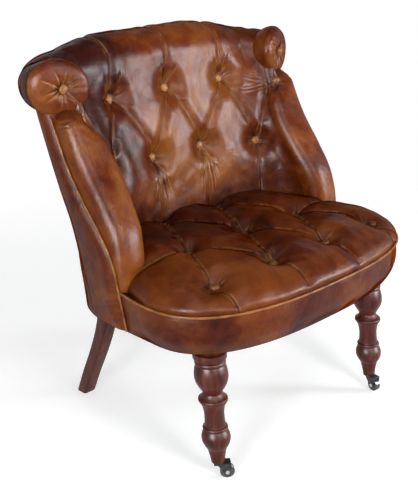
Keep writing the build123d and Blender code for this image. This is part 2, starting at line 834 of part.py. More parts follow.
def back_block(low, high):
    """The room that the back takes above the seat, a little enlarged, to draw the cushion in round it."""
    faces = []
    for z in back_levels(low, high):
        at = level(z)
        front = [(at["edge"] + tuck_gap, at["wing_y"] - tuck_gap),
                (blend(at["edge"], at["nose_x"], 0.12), 0), (at["nose_x"], at["nose_y"] - tuck_gap),
                 (blend(at["inner"], at["nose_x"], 0.14), 0), (at["inner"] - tuck_gap, at["inner_y"])]
        front[1] = (front[1][0] + tuck_gap, blend(at["wing_y"], at["nose_y"], 0.62) - tuck_gap)
        front[3] = (front[3][0] - tuck_gap, blend(at["inner_y"], at["nose_y"], 0.62) - tuck_gap)
        left = [(-x, y) for x, y in front]
        outer = outer_points(z, -2.0 * cover_thick)
        faces.append(plan_face(z, left, inner_points(z, -tuck_gap), list(reversed(front)),
                list(reversed(outer))))
    return loft(faces)


def scroll_end(side):
    """The domed scroll end with its sunk button and radial pleats."""
    centre_z = roll_height - roll_end_drop
    crest_y = roll_end_y - fit - scroll_dome
    normal = Vector(0, -1, 0)
    floor = Vector(side * roll_half_width, crest_y + scroll_button_sink, centre_z)
    sink = Solid.make_cone(dimple_floor, scroll_dimple_rim, scroll_dimple_depth,
            Plane(origin=floor, z_dir=normal))
    folds = [sink]
    for k in range(scroll_pleats):
        turn = 2.0 * math.pi * (k + 0.5) / scroll_pleats
        out = Vector(math.cos(turn), 0, math.sin(turn))
        first = floor + out * dimple_floor
        last = Vector(floor.X, crest_y + scroll_dome * 0.42, floor.Z) + out * (roll_end_radius * 0.86)
        outward = (normal + out * 0.5).normalized()
        folds.append(pleat(first, last, outward, scroll_pleat_half, scroll_pleat_depth))
    return largest(cut_all(scroll_dome_body(side, 0), folds)), button(floor, normal)


# The seat cushion
def seat_cushion():
    faces = []
    for height_share, inset_share in crown_shares:
        z = seam_height + fit + seat_crown * height_share
        inset = crown_inset * inset_share
        points = seat_points(inset)
        rear = seat_rear_y - inset * 0.2
        corner_x = points[-1][0] * 0.8
        faces.append(plan_face(z, points, [(corner_x, rear), (-corner_x, rear)]))
    return loft(faces)


def seat_rows():
    front = [(seat_button_pitch * k, seat_row_front_y) for k in (-1.5, -0.5, 0.5, 1.5)]
    middle = [(seat_button_pitch * k, seat_row_front_y + seat_row_step) for k in (-1.0, 0.0, 1.0)]
    rear = [(seat_button_pitch * k, seat_row_front_y + 2.0 * seat_row_step) for k in (-0.5, 0.5)]
    return front, middle, rear


def seat_tufts():
    """The dimples and folds of the seat, and its buttons."""
    front, middle, rear = seat_rows()
    up = Vector(0, 0, 1)
    spots = [Vector(x, y, seat_button_height) for x, y in front + middle + rear]
    tools = [dimple(spot, up) for spot in spots]
    buttons = [button(spot, up) for spot in spots]

    def fold(first, last, first_z=seat_pleat_height, last_z=seat_pleat_height):
        ends = (Vector(first[0], first[1], first_z), Vector(last[0], last[1], last_z))
        tools.append(pleat(ends[0], ends[1], up, pleat_half, pleat_depth))

    for row, near in ((front, middle), (middle, rear)):
        for k, spot in enumerate(near):
            fold(row[k], spot)
            fold(row[k + 1], spot)
    front_y = seat_middle_y - seat_front_depth
    for x, y in front:
        fold((x, y), (x, seat_pleat_shoulder_y), seat_pleat_height, seat_pleat_shoulder_height)
        fold((x, seat_pleat_shoulder_y), (x, front_y - cover_thick), seat_pleat_shoulder_height,
                seam_height + 2.0 * button_edge)
    for x, y in (middle[0], middle[-1]):
        fold((x, y), (math.copysign(seat_pleat_side_x, x), y))
    for x, y in rear:
        fold((x, y), (x, seat_rear_y))
    return tools, buttons


def apron():
    """The padded band round the front of the seat, from the rails out to its swelling face."""
    faces = []
    height = seam_height - apron_bottom
    for height_share, tuck_share, swell_share in apron_shares:
        z = apron_bottom + height * height_share
        inset = apron_tuck * tuck_share - apron_swell * swell_share
        faces.append(ring_section(apron_points(inset, z), apron_back_points(z), z))
    return loft(faces)


def tube(points, radius, direction):
    """A round cord along three-point arcs."""
    path = Wire([bow(points[i], points[i + 1], points[i + 2]) for i in range(0, len(points) - 2, 2)])
    section = Plane(origin=points[0], z_dir=direction) * Circle(radius)
    return sweep(section, path=path)


def piping_round_seat():
    out = -(cover_thick * 0.2 + piping_radius)
    points = [Vector(x, y, seam_height) for x, y in apron_points(out, seam_height)[2:-2]]
    ends = apron_points(out, seam_height)
    first = Vector(ends[0][0] + out, ends[0][1] + out, seam_height)
    bend = Vector(ends[1][0], ends[1][1], seam_height)
    points = [first, bend] + points + [Vector(-bend.X, bend.Y, bend.Z), Vector(-first.X, first.Y, first.Z)]
    return tube(points, piping_radius, (bend - first).normalized())


def wing_piping(side, grow):
    """The cord in the seam between a wing's facing and the outside cover."""
    off = piping_radius + fit
    low, high = apron_bottom + piping_radius, wing_piping_top
    points = []
    for k in range(9):
        z = blend(low, high, k / 8.0)
        at = level(z)
        points.append(Vector(side * (at["edge"] + off * 0.85), at["wing_y"] - off * 0.55, z))
    return tube(points, piping_radius + grow, points[1] - points[0])


# Frame
front_rail, left_rail, right_rail, rear_rail = make_rails()
inside_frame = frame_layer(rail_bottom, rail_top, rail_inset + rail_thick + joint)
block_spots = [(-front_leg_x, leg_axis_y(front_leg_top)), (front_leg_x, leg_axis_y(front_leg_top)),
               (-rear_block_x, rear_block_y), (rear_block_x, rear_block_y)]


def block_screws(x, y):
    """Two screws through a corner block into the rail outside it."""
    out = Vector(x * 0.8, y, 0).normalized()
    across = Vector(-out.Y, out.X, 0)
    screws = []
    for hand in (-1, 1):
        start = (Vector(x, y, front_leg_top + block_height / 2.0) - out * block_screw_start
                 + across * (hand * block_screw_spread))
        shank = Solid.make_cylinder(block_screw_radius, block_screw_length, Plane(origin=start, z_dir=out))
        head = Solid.make_cylinder(block_screw_head_radius, block_screw_head,
                Plane(origin=start, z_dir=out))
        screws.append(shank + head)
    return screws


screws = [screw for spot in block_spots for screw in block_screws(*spot)]
bolt_tops = [(-front_leg_x, leg_axis_y(front_leg_top), front_leg_top),
        (front_leg_x, leg_axis_y(front_leg_top), front_leg_top),
             (-rear_leg_top_x, rear_leg_top_y + rear_bolt_offset, rear_leg_top),
             (rear_leg_top_x, rear_leg_top_y + rear_bolt_offset, rear_leg_top)]
half_bolt = leg_bolt_length / 2.0
bolts = [bolt_hole(x, y, z - half_bolt + joint, z + half_bolt, leg_bolt_radius) for x, y, z in bolt_tops]
bolt_holes = [bolt_hole(x, y, z - half_bolt, z + half_bolt + joint, leg_bolt_radius + joint)
              for x, y, z in bolt_tops]
shank_rooms = [bolt_hole(x, y, rail_bottom - joint, front_leg_top, leg_shank + leg_shank_room)
               for x, y, z in bolt_tops[:2]]
fastener_room = screws + bolt_holes + shank_rooms
rails = {"front_seat_rail": front_rail, "left_seat_rail": left_rail, "right_seat_rail": right_rail,
        "rear_seat_rail": rear_rail}
for name, rail in rails.items():
    save(largest(cut_all(rail, fastener_room)), name)
blocks = [largest(cut_all(block_at(x, y) & inside_frame, fastener_room)) for x, y in block_spots]
save(Compound(blocks), "corner_blocks")
save(Compound(screws), "corner_block_screws")
save(Compound(bolts), "leg_bolts")


def post_faces(x_low, x_high, y_low, y_high, z):
    return Face(Wire.make_polygon([Vector(x_low, y_low, z), Vector(x_high, y_low, z),
                                   Vector(x_high, y_high, z), Vector(x_low, y_high, z)], close=True))


def back_post(side):
    """An upright between the rear rail and the top rail, leaning with the outside of the back."""
    faces = []
    for z in (rail_top + joint, top_rail_bottom - joint):
        at = level(z)
        share = (post_x + post_width / 2.0) / (at["outer"] - cover_thick)
        depth = at["rear_y"] - cover_thick - at["side_y"]
        rear = at["side_y"] + depth * (1.0 - share ** at["square"]) ** (1.0 / at["square"]) - rail_inset
        ends = sorted((side * (post_x - post_width / 2.0), side * (post_x + post_width / 2.0)))
        faces.append(post_faces(ends[0], ends[1], rear - rail_thick, rear, z))
    return loft(faces)


def wing_post(side):
    """The shaped upright behind a wing's facing."""
    faces = []
    for z in back_levels(rail_top + joint, wing_post_top):
        at = level(z)
        middle = at["outer"] - wing_post_inset
        ends = sorted((side * (middle - wing_post_width / 2.0), side * (middle + wing_post_width / 2.0)))
        low = at["wing_y"] + wing_post_back
        faces.append(post_faces(ends[0], ends[1], low, low + wing_post_depth, z))
    return loft(faces)


top_rail = band(top_rail_bottom, top_rail_top, top_rail_inset, top_rail_inset + rail_thick, 2.0)
save(top_rail, "top_rail")

# Springs and their cloth
spring_places = [spring_spacing * k for k in (-2, -1, 0, 1, 2)]
save(Compound([spring(x) for x in spring_places]), "seat_springs")
clip_spots = [(x, place(x)) for x in spring_places for place in (rail_middle_front, rail_middle_rear)]
save(Compound([clip(x, y) for x, y in clip_spots]), "spring_clips")
burlap_low = rail_top + clip_height + fit
burlap = frame_layer(burlap_low, burlap_low + burlap_thick, rail_inset + burlap_inset)
posts = [make(side) for make in (back_post, wing_post) for side in (-1, 1)]
save(largest(cut_all(burlap, posts)), "spring_cover")

# Back padding
webbing = []
for z in webbing_heights:
    low, high = z - webbing_width / 2.0, z + webbing_width / 2.0
    front = cover_thick + rail_inset + rail_thick
    webbing.append(band(low, high, front, front + webbing_thick, webbing_reach))
save(Compound(webbing), "back_webbing")
for post, name in zip(posts, ("left_back_post", "right_back_post", "left_wing_post", "right_wing_post")):
    save(largest(cut_all(post, webbing)), name)


def back_foam():
    """The stuffing between the posts and the buttoned inside of the back."""
    faces = []
    for z in back_levels(foam_bottom, foam_top):
        front = inner_points(z, pad_thick + fit, webbing_reach)
        rear = outer_points(z, cover_thick + rail_inset + rail_thick + webbing_thick + fit, webbing_reach)
        faces.append(ring_section(front, rear, z))
    return loft(faces)


inside_plain = inside_back()
save(largest(cut_all(back_foam(), posts + webbing + [inside_plain])), "back_foam")
roll_room = roll_body(fit)
domes_room = [scroll_dome_body(side, fit) for side in (-1, 1)]
back_tools, back_buttons = back_tufts()
inside = cut_all(inside_plain - roll_room, domes_room)
save(largest(cut_all(inside, back_tools)), "buttoned_inside_back")
save(Compound(back_buttons), "back_buttons")
cords_room = [wing_piping(side, joint) for side in (-1, 1)]
outside = cut_all(band(apron_bottom, back_top, 0, cover_thick) - roll_room, domes_room)
save(largest(cut_all(outside, cords_room)), "outside_back_cover")
rail_room = band(top_rail_bottom - rail_thick, top_rail_top + joint, top_rail_inset - joint,
        top_rail_inset + rail_thick + joint, 2.0)
save(largest(roll_body(0) - rail_room), "top_roll")

scroll_buttons = []
for side, hand, angle in ((-1, "left", left_trail_angle), (1, "right", right_trail_angle)):
    facing = wing_facing(side) - roll_room - domes_room[(side + 1) // 2] - inside_plain - outside
    near_tools = [tool for tool in back_tools if side * tool.center().X > back_half_width / 2.0]
    facing = cut_all(facing - cords_room[(side + 1) // 2], near_tools)
    save(largest(facing), hand + "_wing_facing")
    end, end_button = scroll_end(side)
    save(largest(end - rail_room), hand + "_scroll_end")
    scroll_buttons.append(end_button)
    save(wing_piping(side, 0), hand + "_wing_piping")
    save(front_leg(side), hand + "_front_leg")
    save(rear_leg(side), hand + "_rear_leg")
    save(caster_socket(side), hand + "_caster_socket")
    save(caster_fork(side, angle), hand + "_caster_fork")
    save(caster_axle(side, angle), hand + "_caster_axle")
    save(caster_wheel(side, angle), hand + "_caster_wheel")
save(Compound(scroll_buttons), "scroll_buttons")

# Seat
seat_tools, seat_buttons = seat_tufts()
pocket = slab(seat_points(seat_foam_inset - fit), seat_foam_rear_y + fit, seam_height, seat_foam_top + fit)
cushion = seat_cushion() - back_block(seam_height, seat_foam_top + seat_crown) - pocket
save(largest(cut_all(cushion, seat_tools)), "buttoned_seat")
save(Compound(seat_buttons), "seat_buttons")
foam_low = burlap_low + burlap_thick + fit
save(slab(seat_points(seat_foam_inset), seat_foam_rear_y, foam_low, seat_foam_top), "seat_foam")
save(largest(cut_all(apron(), cords_room)), "seat_apron")
save(largest(cut_all(piping_round_seat(), cords_room)), "seat_piping")

# Dust cover under the rails, cut round the legs
dust_low = rail_bottom - dust_cover_drop
dust = frame_layer(dust_low, dust_low + dust_cover_thick, rail_inset + dust_cover_inset)
for side in (-1, 1):
    dust = dust - bolt_hole(side * front_leg_x, leg_axis_y(dust_low), dust_low - joint, rail_bottom,
            leg_shank + cover_thick)
    room = 2.0 * (rear_leg_top_half + cover_thick)
    dust = dust - Pos(side * rear_leg_top_x, rear_leg_top_y, dust_low) * Box(room, room, room)
save(largest(dust), "dust_cover")

print("centre shift", round(centre_shift, 3))
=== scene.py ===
import math

import bmesh
import bpy
import numpy as np
from mathutils import Matrix, Vector


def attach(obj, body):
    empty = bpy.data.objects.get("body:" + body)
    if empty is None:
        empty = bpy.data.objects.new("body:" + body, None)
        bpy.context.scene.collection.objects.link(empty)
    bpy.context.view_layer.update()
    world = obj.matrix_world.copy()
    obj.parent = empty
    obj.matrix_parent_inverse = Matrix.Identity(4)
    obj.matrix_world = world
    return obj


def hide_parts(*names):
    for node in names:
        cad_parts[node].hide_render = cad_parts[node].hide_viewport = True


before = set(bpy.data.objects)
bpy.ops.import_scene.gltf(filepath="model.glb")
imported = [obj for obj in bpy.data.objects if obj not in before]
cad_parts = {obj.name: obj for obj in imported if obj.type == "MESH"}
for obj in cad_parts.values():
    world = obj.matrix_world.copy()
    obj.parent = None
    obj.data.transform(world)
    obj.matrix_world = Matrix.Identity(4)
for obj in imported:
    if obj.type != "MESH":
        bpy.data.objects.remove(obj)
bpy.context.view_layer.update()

# The room: a pale floor, a white surround, five soft lamps and four reflector boards, with the
# camera a metre up, looking down on the chair from its front left.
scene = bpy.context.scene
scene.view_settings.view_transform = "Standard"
eye = Vector((-1.244, -1.226, 1.003))
azimuth, elevation, tilt = math.radians(-44.64), math.radians(20.79), math.radians(-0.78)
focal, middle_x, middle_y = 910.2, 215.57, 247.91
picture_width, picture_height = 418, 488
level_right = Vector((math.cos(azimuth), math.sin(azimuth), 0))
ahead = Vector((-math.sin(azimuth) * math.cos(elevation), math.cos(azimuth) * math.cos(elevation),
                -math.sin(elevation)))
level_up = level_right.cross(ahead)
right = level_right * math.cos(tilt) + level_up * math.sin(tilt)
up = level_up * math.cos(tilt) - level_right * math.sin(tilt)
lens = bpy.data.cameras.new("camera")
lens.sensor_fit = "HORIZONTAL"
lens.sensor_width = 36.0
lens.lens = focal * lens.sensor_width / picture_width
lens.shift_x = (picture_width / 2 - middle_x) / picture_width
lens.shift_y = (middle_y - picture_height / 2) / picture_width
lens.clip_start = 0.05
camera = bpy.data.objects.new("camera", lens)
scene.collection.objects.link(camera)
camera.matrix_world = Matrix((
    (right.x, up.x, -ahead.x, eye.x),
    (right.y, up.y, -ahead.y, eye.y),
    (right.z, up.z, -ahead.z, eye.z),
    (0, 0, 0, 1)))
scene.camera = camera


def add_node(tree, kind, inputs=None, **settings):
    """A shader node with its settings, and plain values or links on its input sockets."""
    made = tree.nodes.new(kind)
    for key, value in settings.items():
        setattr(made, key, value)
    for key, value in (inputs or {}).items():
        if isinstance(value, bpy.types.NodeSocket):
            tree.links.new(value, made.inputs[key])
        else:
            made.inputs[key].default_value = value
    return made


def reckoned(tree, operation, *values):
    """The sum, product or other result of some values."""
    return add_node(tree, "ShaderNodeMath", dict(enumerate(values)), operation=operation).outputs[0]


def ranged(tree, value, low, high, start=0.0, end=1.0, **settings):
    """A value that runs from start to end, carried over to run from low to high."""
    bounds = {"Value": value, "From Min": start, "From Max": end, "To Min": low, "To Max": high}
    return add_node(tree, "ShaderNodeMapRange", bounds, **settings).outputs[0]


def clouded(tree, spot, scale, detail=2.0, roughness=0.5, distortion=0.0):
    """Soft random clouds over the object."""
    inputs = {"Vector": spot, "Scale": scale, "Detail": detail,
              "Roughness": roughness, "Distortion": distortion}
    return add_node(tree, "ShaderNodeTexNoise", inputs).outputs["Fac"]


def colour_steps(tree, factor, *steps):
    """A smooth run of colours along a factor: each step is a place and a colour."""
    ramp = add_node(tree, "ShaderNodeValToRGB", {"Fac": factor})
    points = ramp.color_ramp.elements
    while len(points) < len(steps):
        points.new(0.5)
    for point, (place, colour) in zip(points, steps):
        point.position = place
        point.color = (*colour, 1)
    return ramp.outputs["Color"]


def new_finish(name, **shader_values):
    """A material with its tree, its shader and the object's own coordinates."""
    finish = bpy.data.materials.new(name)
    finish.use_nodes = True
    tree = finish.node_tree
    shader = tree.nodes["Principled BSDF"]
    for key, value in shader_values.items():
        shader.inputs[key.replace("_", " ")].default_value = value
    return finish, tree, shader, add_node(tree, "ShaderNodeTexCoord").outputs["Object"]


def feed(tree, shader, **sockets):
    """Links results to a shader's sockets."""
    for key, result in sockets.items():
        tree.links.new(result, shader.inputs[key.replace("_", " ")])


def background_rays(tree):
    """1 for rays that show the background: from the camera, or by way of gloss or glass."""
    path = add_node(tree, "ShaderNodeLightPath").outputs
    seen = reckoned(tree, "MAXIMUM", path["Is Camera Ray"], path["Is Glossy Ray"])
    return reckoned(tree, "MAXIMUM", seen, path["Is Transmission Ray"])


white = (1, 1, 1, 1)
floor_reach, floor_glow, fade_start, fade_end = 9.0, 0.40, 0.75, 1.7
floor_mesh = bpy.data.meshes.new("studio_floor")
corners = [(x * floor_reach, y * floor_reach, 0) for x, y in ((-1, -1), (1, -1), (1, 1), (-1, 1))]
floor_mesh.from_pydata(corners, [], [(0, 1, 2, 3)])
studio_floor = bpy.data.objects.new("studio_floor", floor_mesh)
scene.collection.objects.link(studio_floor)
paper, tree, shader, spot = new_finish("white_paper", Roughness=0.95, Specular_IOR_Level=0.1)
shader.inputs["Emission Color"].default_value = white
fleck = colour_steps(tree, clouded(tree, spot, 3.0), (0.0, (0.90, 0.90, 0.90)), (1.0, (0.92, 0.92, 0.92)))
shown = background_rays(tree)
feed(tree, shader, Base_Color=fleck, Emission_Strength=reckoned(tree, "MULTIPLY", shown, floor_glow))
radius = add_node(tree, "ShaderNodeVectorMath", {0: spot}, operation="LENGTH").outputs["Value"]
away = ranged(tree, radius, 0.0, 1.0, fade_start, fade_end, interpolation_type="SMOOTHSTEP")
faded = reckoned(tree, "MULTIPLY", away, shown)
plain_white = add_node(tree, "ShaderNodeEmission", {"Color": white, "Strength": 1.0}).outputs[0]
blended = add_node(tree, "ShaderNodeMixShader", {0: faded, 1: shader.outputs[0], 2: plain_white}).outputs[0]
tree.links.new(blended, tree.nodes["Material Output"].inputs["Surface"])
floor_mesh.materials.append(paper)

room_fill, wall_shine, ceiling_shine, wall_top, ceiling_start = 0.24, 1.0, 0.15, 0.20, 0.62
world = bpy.data.worlds.new("surround")
world.use_nodes = True
scene.world = world
tree = world.node_tree
backdrop = tree.nodes["Background"]
backdrop.inputs["Color"].default_value = white
way = add_node(tree, "ShaderNodeTexCoord").outputs["Generated"]
upward = add_node(tree, "ShaderNodeSeparateXYZ", {"Vector": way}).outputs["Z"]
reflected = ranged(tree, upward, wall_shine, ceiling_shine, wall_top, ceiling_start)
feed(tree, backdrop, Strength=ranged(tree, background_rays(tree), room_fill, reflected))

# each lamp: place, height it faces, size, watts and colour; a board shows in gloss only
for name, place, aim_height, size, watts, colour in (
        ("front_lamp", (-0.5, -2.5, 1.3), 0.45, 0.8, 34, (1.0, 0.99, 0.97)),
        ("right_lamp", (2.0, -1.7, 0.95), 0.45, 0.7, 38, (0.95, 0.98, 1.0)),
        ("left_lamp", (-2.4, -1.0, 1.0), 0.5, 0.6, 26, (0.95, 0.98, 1.0)),
        ("top_lamp", (-0.3, -0.2, 2.7), 0.4, 1.4, 10, (0.97, 0.98, 1.0)),
        ("rear_lamp", (0.9, 2.4, 1.5), 0.5, 1.2, 7, (0.97, 0.98, 1.0)),
        ("right_board", (1.5, -2.35, 1.05), 0.5, 0.9, 165, (0.95, 0.97, 1.0)),
        ("front_board", (-0.7, -2.2, 2.1), 0.5, 0.7, 55, (1.0, 0.99, 0.98)),
        ("left_board", (-2.35, -0.85, 1.20), 0.5, 0.9, 190, (0.93, 0.96, 1.0)),
        ("high_board", (-0.9, -0.9, 2.6), 0.4, 0.8, 18, (0.96, 0.98, 1.0))):
    light = bpy.data.lights.new(name, "AREA")
    light.size = size
    light.energy = watts
    light.color = colour
    lamp = bpy.data.objects.new(name, light)
    scene.collection.objects.link(lamp)
    lamp.location = place
    lamp.visible_diffuse = not name.endswith("board")
    lamp.rotation_euler = (Vector((0, 0, aim_height)) - Vector(place)).to_track_quat("-Z", "Y").to_euler()


# The seat frame: front, rear and two side rails with corner blocks, sawn from beech and
# glued, under posts and a top rail that carry the back. Upholstery hides all of it.
def dress(finish, *nodes):
    """A CAD node that keeps its own shape gets its finish here."""
    for name in nodes:
        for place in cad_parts[name].material_slots:
            place.material = finish


def raised(tree, height, strength, distance, **under):
    """Small relief from a height, over any relief under it."""
    inputs = {"Height": height, "Strength": strength, "Distance": distance, **under}
    return add_node(tree, "ShaderNodeBump", inputs).outputs["Normal"]


def wood_finish(name, colours, grain, **shader_values):
    """Wood: long streaks along the grain, pores, and a slightly uneven polish."""
    finish, tree, shader, spot = new_finish(name, **shader_values)
    along = add_node(tree, "ShaderNodeMapping", {"Vector": spot, "Scale": grain}).outputs["Vector"]
    streak = clouded(tree, along, 9.0, 8.0, 0.62, 0.7)
    pores = clouded(tree, along, 60.0, 3.0)
    polish = shader.inputs["Roughness"].default_value
    feed(tree, shader, Base_Color=colour_steps(tree, streak, *zip((0.28, 0.48, 0.72), colours)),
         Normal=raised(tree, pores, 0.25, 0.0006), Roughness=ranged(tree, streak, polish, polish + 0.16))
    return finish


beech_colours = ((0.42, 0.27, 0.15), (0.58, 0.41, 0.25), (0.68, 0.52, 0.34))
beech = wood_finish("planed_beech", beech_colours, (1.5, 9.0, 9.0), Roughness=0.55)
dress(beech, "front_seat_rail", "rear_seat_rail", "left_seat_rail", "right_seat_rail", "corner_blocks",
      "top_rail")
upright_beech = wood_finish("upright_beech", beech_colours, (9.0, 9.0, 1.5), Roughness=0.55)
dress(upright_beech, "left_back_post", "right_back_post", "left_wing_post", "right_wing_post")

# Steel: the screws of the corner blocks, the bolts that hold the legs, and the zigzag seat
# springs with their clips, all of plain drawn wire and bar.
steel, tree, shader, spot = new_finish("drawn_steel", Metallic=1.0)
scratch = clouded(tree, spot, 260.0, 5.0)
steel_grey = colour_steps(tree, scratch, (0.3, (0.34, 0.34, 0.35)), (0.7, (0.56, 0.56, 0.57)))
feed(tree, shader, Base_Color=steel_grey, Roughness=ranged(tree, scratch, 0.28, 0.46))
dress(steel, "corner_block_screws", "leg_bolts", "seat_springs", "spring_clips",
      "left_caster_axle", "right_caster_axle")


# Cloth and stuffing out of sight: jute over the springs and across the back, cream stuffing
# under the leather, and the black cotton that closes the bottom of the seat against dust.
def mixed(tree, factor, first, second):
    """One colour over another by a factor."""
    inputs = {"Fac": factor, "Color1": first, "Color2": second}
    return add_node(tree, "ShaderNodeMixRGB", inputs).outputs["Color"]


def woven_finish(name, dark, light, threads, lift):
    """A plain weave: threads that cross, a little uneven."""
    finish, tree, shader, spot = new_finish(name, Roughness=0.85)
    waver = add_node(tree, "ShaderNodeTexNoise", {"Vector": spot, "Scale": 40.0, "Detail": 2.0})
    wave = {"Vector": mixed(tree, 0.004, spot, waver.outputs["Color"]), "Scale": threads}
    sets = [add_node(tree, "ShaderNodeTexWave", wave, bands_direction=axis).outputs["Fac"] for axis in "XYZ"]
    height = reckoned(tree, "MAXIMUM", reckoned(tree, "MULTIPLY", sets[0], sets[1]), sets[2])
    feed(tree, shader, Base_Color=colour_steps(tree, height, (0.1, dark), (0.9, light)),
         Normal=raised(tree, height, 0.6, lift))
    return finish


jute = woven_finish("jute", (0.30, 0.21, 0.12), (0.60, 0.47, 0.30), 130.0, 0.0008)
dress(jute, "spring_cover", "back_webbing")
black_cotton = woven_finish("black_cotton", (0.008, 0.008, 0.008), (0.035, 0.035, 0.035), 420.0, 0.0003)
dress(black_cotton, "dust_cover")
cream_wadding = woven_finish("cream_wadding", (0.58, 0.52, 0.40), (0.82, 0.77, 0.66), 60.0, 0.0012)
dress(cream_wadding, "seat_foam", "back_foam")

# Front legs: each is turned from mahogany with a collar, a vase, a waist and a bulb above the
# caster, leaned a little forward on its bolt, then stained red-brown and polished.
mahogany_colours = ((0.022, 0.0035, 0.002), (0.070, 0.011, 0.006), (0.150, 0.030, 0.016))
mahogany = wood_finish("red_mahogany", mahogany_colours, (9.0, 9.0, 1.1),
                       Roughness=0.30, Specular_IOR_Level=0.18)


def link_mesh(name, points, quads, finish, sharp=50.0, marks=None):
    """A closed mesh from points and faces: welded, turned outward and smooth but for sharp edges."""
    mesh = bpy.data.meshes.new(name)
    mesh.from_pydata(np.asarray(points, float).reshape(-1, 3).tolist(), [], quads)
    for key, values in (marks or {}).items():
        values = (np.zeros(len(mesh.vertices)) + np.ravel(values)).astype(np.float32)
        mesh.attributes.new(key, "FLOAT", "POINT").data.foreach_set("value", values)
    form = bmesh.new()
    form.from_mesh(mesh)
    bmesh.ops.remove_doubles(form, verts=form.verts, dist=0.00002)
    bmesh.ops.dissolve_degenerate(form, dist=0.00001, edges=form.edges)
    bmesh.ops.recalc_face_normals(form, faces=form.faces)
    form.to_mesh(mesh)
    form.free()
    mesh.shade_smooth()
    mesh.set_sharp_from_angle(angle=math.radians(sharp))
    mesh.materials.append(finish)
    piece = bpy.data.objects.new(name, mesh)
    scene.collection.objects.link(piece)
    return piece


def tube_faces(rings, around, start=0):
    """Quads between rings of points, with a fan that closes each end on two last points."""
    quads = []
    for r in range(rings - 1):
        low, high = start + r * around, start + (r + 1) * around
        for c in range(around):
            quads.append((low + c, low + (c + 1) % around, high + (c + 1) % around, high + c))
    first, last = start + rings * around, start + rings * around + 1
    top = start + (rings - 1) * around
    quads += [(first, start + (c + 1) % around, start + c) for c in range(around)]
    quads += [(last, top + c, top + (c + 1) % around) for c in range(around)]
    return quads


def tube_piece(name, rings, finish, sharp=50.0, marks=None):
    """A closed tube through rings of points (ring, place round it, xyz)."""
    ends = np.stack([rings[0].mean(axis=0), rings[-1].mean(axis=0)])
    points = np.concatenate([rings.reshape(-1, 3), ends])
    kept = {}
    for key, values in (marks or {}).items():
        values = np.broadcast_to(values, rings.shape[:2])
        kept[key] = np.concatenate([values.ravel(), [values[0].mean(), values[-1].mean()]])
    return link_mesh(name, points, tube_faces(*rings.shape[:2]), finish, sharp, kept)


def full_turn(count):
    """Angles evenly round a circle."""
    return np.linspace(0, 2 * math.pi, count, endpoint=False)


def rows_at(heights, x, y):
    """A grid of points from rows of x and y, each row at its own height."""
    return np.stack([x, y, np.broadcast_to(heights[:, None], x.shape)], axis=2)


def curve_between(start, leave, end, arrive, t):
    """A smooth curve between two points with a direction at each, by its share t."""
    return ((2 * t**3 - 3 * t**2 + 1) * start + (t**3 - 2 * t**2 + t) * leave
            + (3 * t**2 - 2 * t**3) * end + (t**3 - t**2) * arrive)


mm = 0.001
sides = ((-1, "left"), (1, "right"))
# the frame has its zero in the middle of the chair, this far in front of the drawing's
shift = 0.00185
leg_x, leg_foot_y, leg_foot = 0.234, -0.204 + shift, 0.0352
leg_lean = 0.0210 / 0.2493
# height and radius of the turning, from the tip up; a third value of 1 marks a crisp edge
leg_outline = (
    (35.2, 12.8, 1), (40.0, 13.4, 0), (52.0, 15.6, 0), (61.0, 17.8, 0), (64.0, 18.6, 1),
    (70.0, 22.4, 0), (78.0, 26.0, 0), (85.0, 27.2, 0), (92.0, 26.4, 0), (99.0, 23.6, 0),
    (102.6, 21.4, 1), (104.0, 22.8, 0), (106.4, 23.6, 0), (108.6, 22.6, 0), (110.0, 20.2, 1),
    (113.0, 19.6, 0), (120.0, 18.9, 0), (130.0, 18.6, 0), (140.0, 19.2, 0), (150.0, 21.4, 0),
    (158.1, 25.1, 1), (160.0, 26.8, 0), (163.0, 27.4, 0), (165.6, 26.6, 0), (166.8, 24.3, 1),
    (170.0, 21.0, 0), (174.0, 18.2, 0), (176.0, 17.4, 1), (182.0, 20.4, 0), (190.0, 25.4, 0),
    (199.0, 29.6, 0), (208.0, 31.3, 0), (218.0, 30.9, 0), (227.0, 28.8, 0), (232.5, 26.5, 1),
    (234.4, 28.0, 0), (236.5, 28.7, 0), (238.6, 28.2, 0), (240.2, 27.1, 1), (243.0, 29.2, 0),
    (245.5, 31.0, 1), (251.0, 31.4, 0), (256.1, 31.0, 1), (258.0, 24.0, 1), (284.5, 24.0, 1))


def turned_rings(outline, around):
    """Rings of a turning: smooth between its crisp edges."""
    rows = []
    for k, (low, high) in enumerate(zip(outline, outline[1:])):
        before = outline[k - 1] if k and not low[2] else low
        after = outline[k + 2] if k + 2 < len(outline) and not high[2] else high
        start, end, early, late = (np.array(point[:2]) for point in (low, high, before, after))
        for t in (0, 0.25, 0.5, 0.75):
            rows.append(curve_between(start, (end - early) / 2, end, (late - start) / 2, t))
    rows.append(np.array(outline[-1][:2]))
    rows = np.array(rows) * mm
    turn = full_turn(around)
    return rows_at(rows[:, 0], rows[:, 1:] * np.cos(turn), rows[:, 1:] * np.sin(turn))


for side, hand in sides:
    rings = turned_rings(leg_outline, 72)
    rings[..., 1] += leg_foot_y + (rings[..., 2] - leg_foot) * leg_lean
    rings[..., 0] += side * leg_x
    leg = tube_piece(hand + "_turned_leg", rings, mahogany, sharp=38.0)
    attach(leg, "chair")
    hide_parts(hand + "_front_leg")

# Rear legs: square sabre legs sawn from mahogany plank in a backward curve, with the edges
# eased by plane, bolted up into the rear corner blocks.
rear_x_foot, rear_x_top, rear_half_foot, rear_half_top, rear_top = 0.206, 0.208, 0.0145, 0.0165, 0.2743
rear_y, rear_sweep = 0.126 + shift, 0.110
sabre_curve = ((0.0, 1.0), (0.22, 0.74), (0.44, 0.46), (0.63, 0.25), (0.82, 0.10), (1.0, 0.0))
sabre_rows, sabre_around, sabre_square, foot_ease, foot_ease_share = 61, 48, 7.0, 0.95, 0.012


